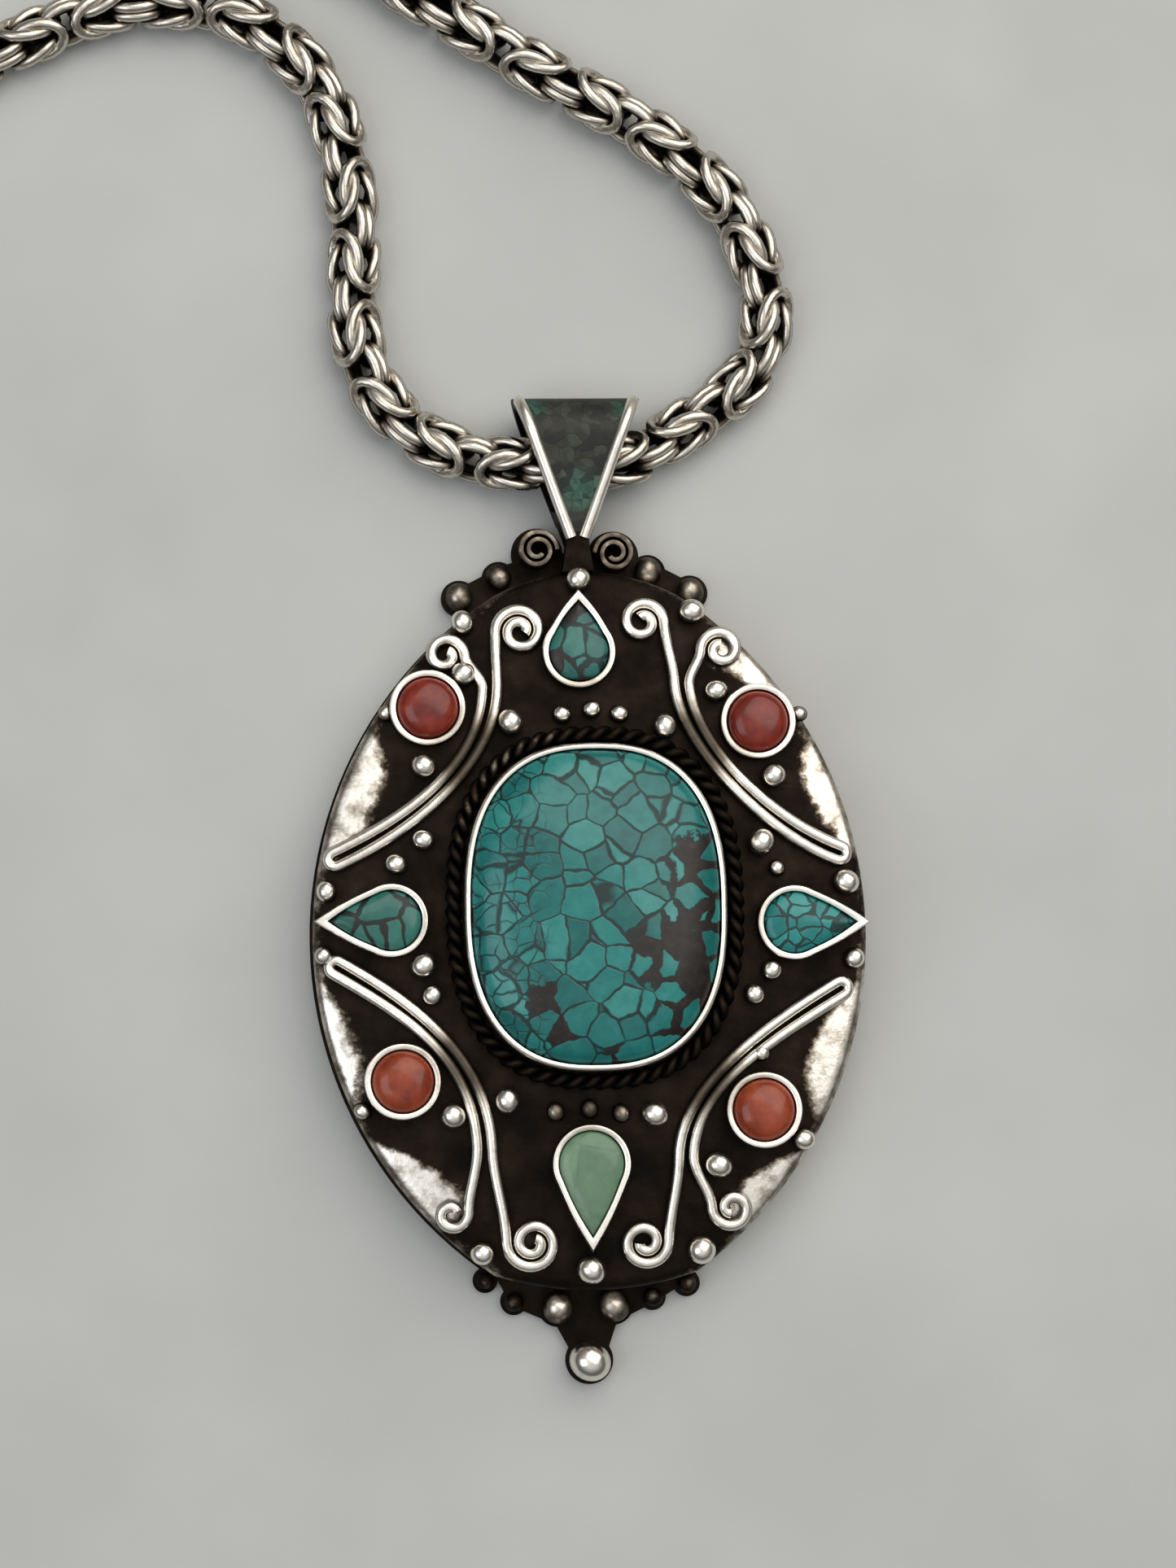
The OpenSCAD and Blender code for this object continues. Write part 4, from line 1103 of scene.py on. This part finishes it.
# %% [markdown]
# Two scrolls of strip stand on edge on the crown, one each side of the bail. A strip is a curve
# pulled up into a ribbon, made thick and then softened.

# %% Crown scrolls
def crown_scroll(name, node, at, way):
    put_down()
    bpy.ops.curve.primitive_nurbs_path_add()
    obj = bpy.context.object
    obj.data.splines.clear()
    obj.location = (0, 0, 0)
    spline = obj.data.splines.new("POLY")
    turns = 1.9
    first = 0 if way > 0 else 180
    line = [(*(np.array(at) + polar(1.7 - 1.2 * i / 70, first + way * 360 * turns * i / 70)),
        SHEET + 1.3) for i in range(71)]
    spline.points.add(len(line) - 1)
    spline.points.foreach_set("co", np.hstack([np.array(line) * MM, np.ones((len(line), 1))]).ravel())
    obj.data.extrude = 1.3 * MM
    bpy.ops.object.convert(target="MESH")
    obj = bpy.context.object
    thick = obj.modifiers.new("thick", "SOLIDIFY")
    thick.thickness = 0.4 * MM
    thick.offset = 0
    bpy.ops.object.modifier_apply(modifier=thick.name)
    soft = obj.modifiers.new("soft", "BEVEL")
    soft.width = 0.1 * MM
    soft.segments = 2
    soft.limit_method = "ANGLE"
    bpy.ops.object.modifier_apply(modifier=soft.name)
    done(obj, name, [node], curl_silver)


crown_scroll("crown_scroll_left_strip", "crown_scroll_left", (-3.9, 28.9), 1)
crown_scroll("crown_scroll_right_strip", "crown_scroll_right", (2.65, 28.6), -1)

# %% [markdown]
# ## Bail
# The bail is a tapering strap folded into a loop. Its front is a shallow tray of crushed stone
# between two bright rims, which are thickest at the top and run together at the neck.

# %% Bail
BAIL_X = -0.55
BAIL_TOP = (5.5, 41.8)
BAIL_WAIST = (0.95, 29.4)
BAIL_H = 6.6
BAIL_NECK_Z = 4.9
BAIL_TURN_Y = 38.5


INLAY_FOOT_Y = 30.2
INLAY_TOP_TURN = 66
RIM_R = 0.5


def bail_front_line(foot_y, turn, n=12):
    """Y and Z up the sloping front of the bail, then some degrees round its fold."""
    slope = [(foot_y + (BAIL_TURN_Y - foot_y) * i / n) for i in range(n)]
    rise = (BAIL_H - BAIL_NECK_Z) / (BAIL_TURN_Y - BAIL_WAIST[1])
    line = [(y, BAIL_NECK_Z + rise * (y - BAIL_WAIST[1])) for y in slope]
    for i in range(n + 1):
        a = math.radians(turn * i / n)
        line.append((BAIL_TURN_Y + BAIL_H / 2 * math.sin(a), BAIL_H / 2 * (1 + math.cos(a))))
    return line


def bail_half(y):
    """Half the bail's width at some height."""
    return BAIL_WAIST[0] + (y - BAIL_WAIST[1]) * (BAIL_TOP[0] - BAIL_WAIST[0]) / (BAIL_TOP[1] - BAIL_WAIST[1])


def bail_rim(way):
    front = bail_front_line(BAIL_WAIST[1] + 0.3, 60)
    return [(BAIL_X + way * (bail_half(y) - RIM_R), y, z + 0.05) for y, z in front]


def inlay_panel(thick=0.5, proud=0.12, n=8):
    """A slab bent over the bail's front: cross sections, each a flat ring, extruded up the front line."""
    line = bail_front_line(INLAY_FOOT_Y, INLAY_TOP_TURN)
    rings = []
    for i, (y, z) in enumerate(line):
        before, after = np.array(line[max(i - 1, 0)]), np.array(line[min(i + 1, len(line) - 1)])
        ahead = (after - before) / np.linalg.norm(after - before)
        out = np.array([-ahead[1], ahead[0]])
        half = max(bail_half(y) - 1.1 * RIM_R, 0.3)
        across = [BAIL_X + half * (2 * k / n - 1) for k in range(n + 1)]
        face = [(x, *(np.array([y, z]) + out * proud)) for x in across]
        floor = [(x, *(np.array([y, z]) - out * (thick - proud))) for x in across[::-1]]
        rings.append(face + floor)
    return turned_up(rings, flat_top=True)


done(softened("bail_strap", 0.1), "bail_strap_sheet", ["bail_strap"], strap_silver)
for side, way in (("left", -1), ("right", 1)):
    rim = wire([bail_rim(way)], RIM_R)
    done(rim, f"bail_rim_{side}_wire", [f"bail_rim_{side}"], rim_silver, angle=60)
done(inlay_panel(), "bail_inlay_chips", ["bail_inlay"], inlay_finish)

# %% [markdown]
# ## Clasp and caps
# The fittings on the chain's ends are plain bright silver, a little darker towards the bottom.
# Their shapes come from the frame, with their edges softened.

# %% Fittings
fitting_silver = rubbed_silver("polished_silver_fitting", -1.0, 0.8, over_plate=False, wear=0.3, polish=0.18)
for node, width in (("end_cap_left", 0.2), ("end_cap_right", 0.2), ("clasp_body", 0.18)):
    done(softened(node, width), node + "_cast", [node], fitting_silver, "chain")
pitch = finish("setting_pitch", Base_Color=tint("#1b1511"), Roughness=0.7)[0]
steel = finish("spring_steel", Base_Color=tint("#9a9a98"), Metallic=1, Roughness=0.28)[0]
BARE = {"catch_ring": fitting_silver, "jump_ring": fitting_silver, "clasp_lever": fitting_silver,
    "clasp_pin": fitting_silver, "clasp_spring": steel, "centre_bed": pitch}
for node, material in BARE.items():
    for held in bpy.data.objects[node].material_slots:
        held.material = material

# %% [markdown]
# ## Table and light
# The pendant lies on a pale table in soft light from a large window above and to the right. Polished
# metal shows what is round it, so the room is lighter overhead than at its edges: that gives the
# silver its dark and bright sides. Blender's default view, AgX, softens contrast and pales strong
# colours. The Standard view keeps both, so every colour above was chosen under it. The stones have a
# lower IOR than the real ones, because a true one makes their dark veins and rock look grey here.

# %% Table
def table_finish():
    material, tree, shader = finish("pale_card", Roughness=0.75)
    where = place(tree)
    grey = ramp(tree, noise(tree, where, 30, 3), [(0.3, "#b0b2b0"), (0.7, "#babcba")])
    tree.links.new(grey, shader.inputs["Base Color"])
    bumped(tree, shader, noise(tree, where, 0.6, 3), 0.05, 0.2)
    return material


put_down()
bpy.ops.mesh.primitive_plane_add(size=1.4, location=(0, 0.05, 0))
table = bpy.context.object
table.name = "table"
table.data.materials.append(table_finish())

# %% Light
def softbox(name, at, size, power, colour="#ffffff"):
    light = bpy.data.lights.new(name, "AREA")
    light.energy = power
    light.size = size
    light.color = tint(colour)[:3]
    lamp = bpy.data.objects.new(name, light)
    lamp.location = at
    lamp.rotation_euler = (-Vector(at)).to_track_quat("-Z", "Y").to_euler()
    bpy.context.scene.collection.objects.link(lamp)


def room():
    """A grey room that brightens overhead."""
    world = bpy.data.worlds.new("room")
    bpy.context.scene.world = world
    world.use_nodes = True
    tree = world.node_tree
    ray = add(tree, "TexCoord").outputs["Generated"]
    high = add(tree, "SeparateXYZ", s0=ray).outputs["Z"]
    sky = ramp(tree, spread(tree, high, -0.2, 1), [(0.15, "#4b4946"), (0.5, "#777573"), (0.8, "#d2d3d1"),
        (1, "#ffffff")])
    tree.links.new(sky, tree.nodes["Background"].inputs["Color"])
    tree.nodes["Background"].inputs["Strength"].default_value = 0.8


room()
bpy.context.scene.view_settings.view_transform = "Standard"
softbox("window", (0.22, 0.34, 0.5), 0.8, 3.6, "#fff8f0")
softbox("fill", (-0.4, -0.1, 0.5), 0.4, 0.9, "#eef4ff")
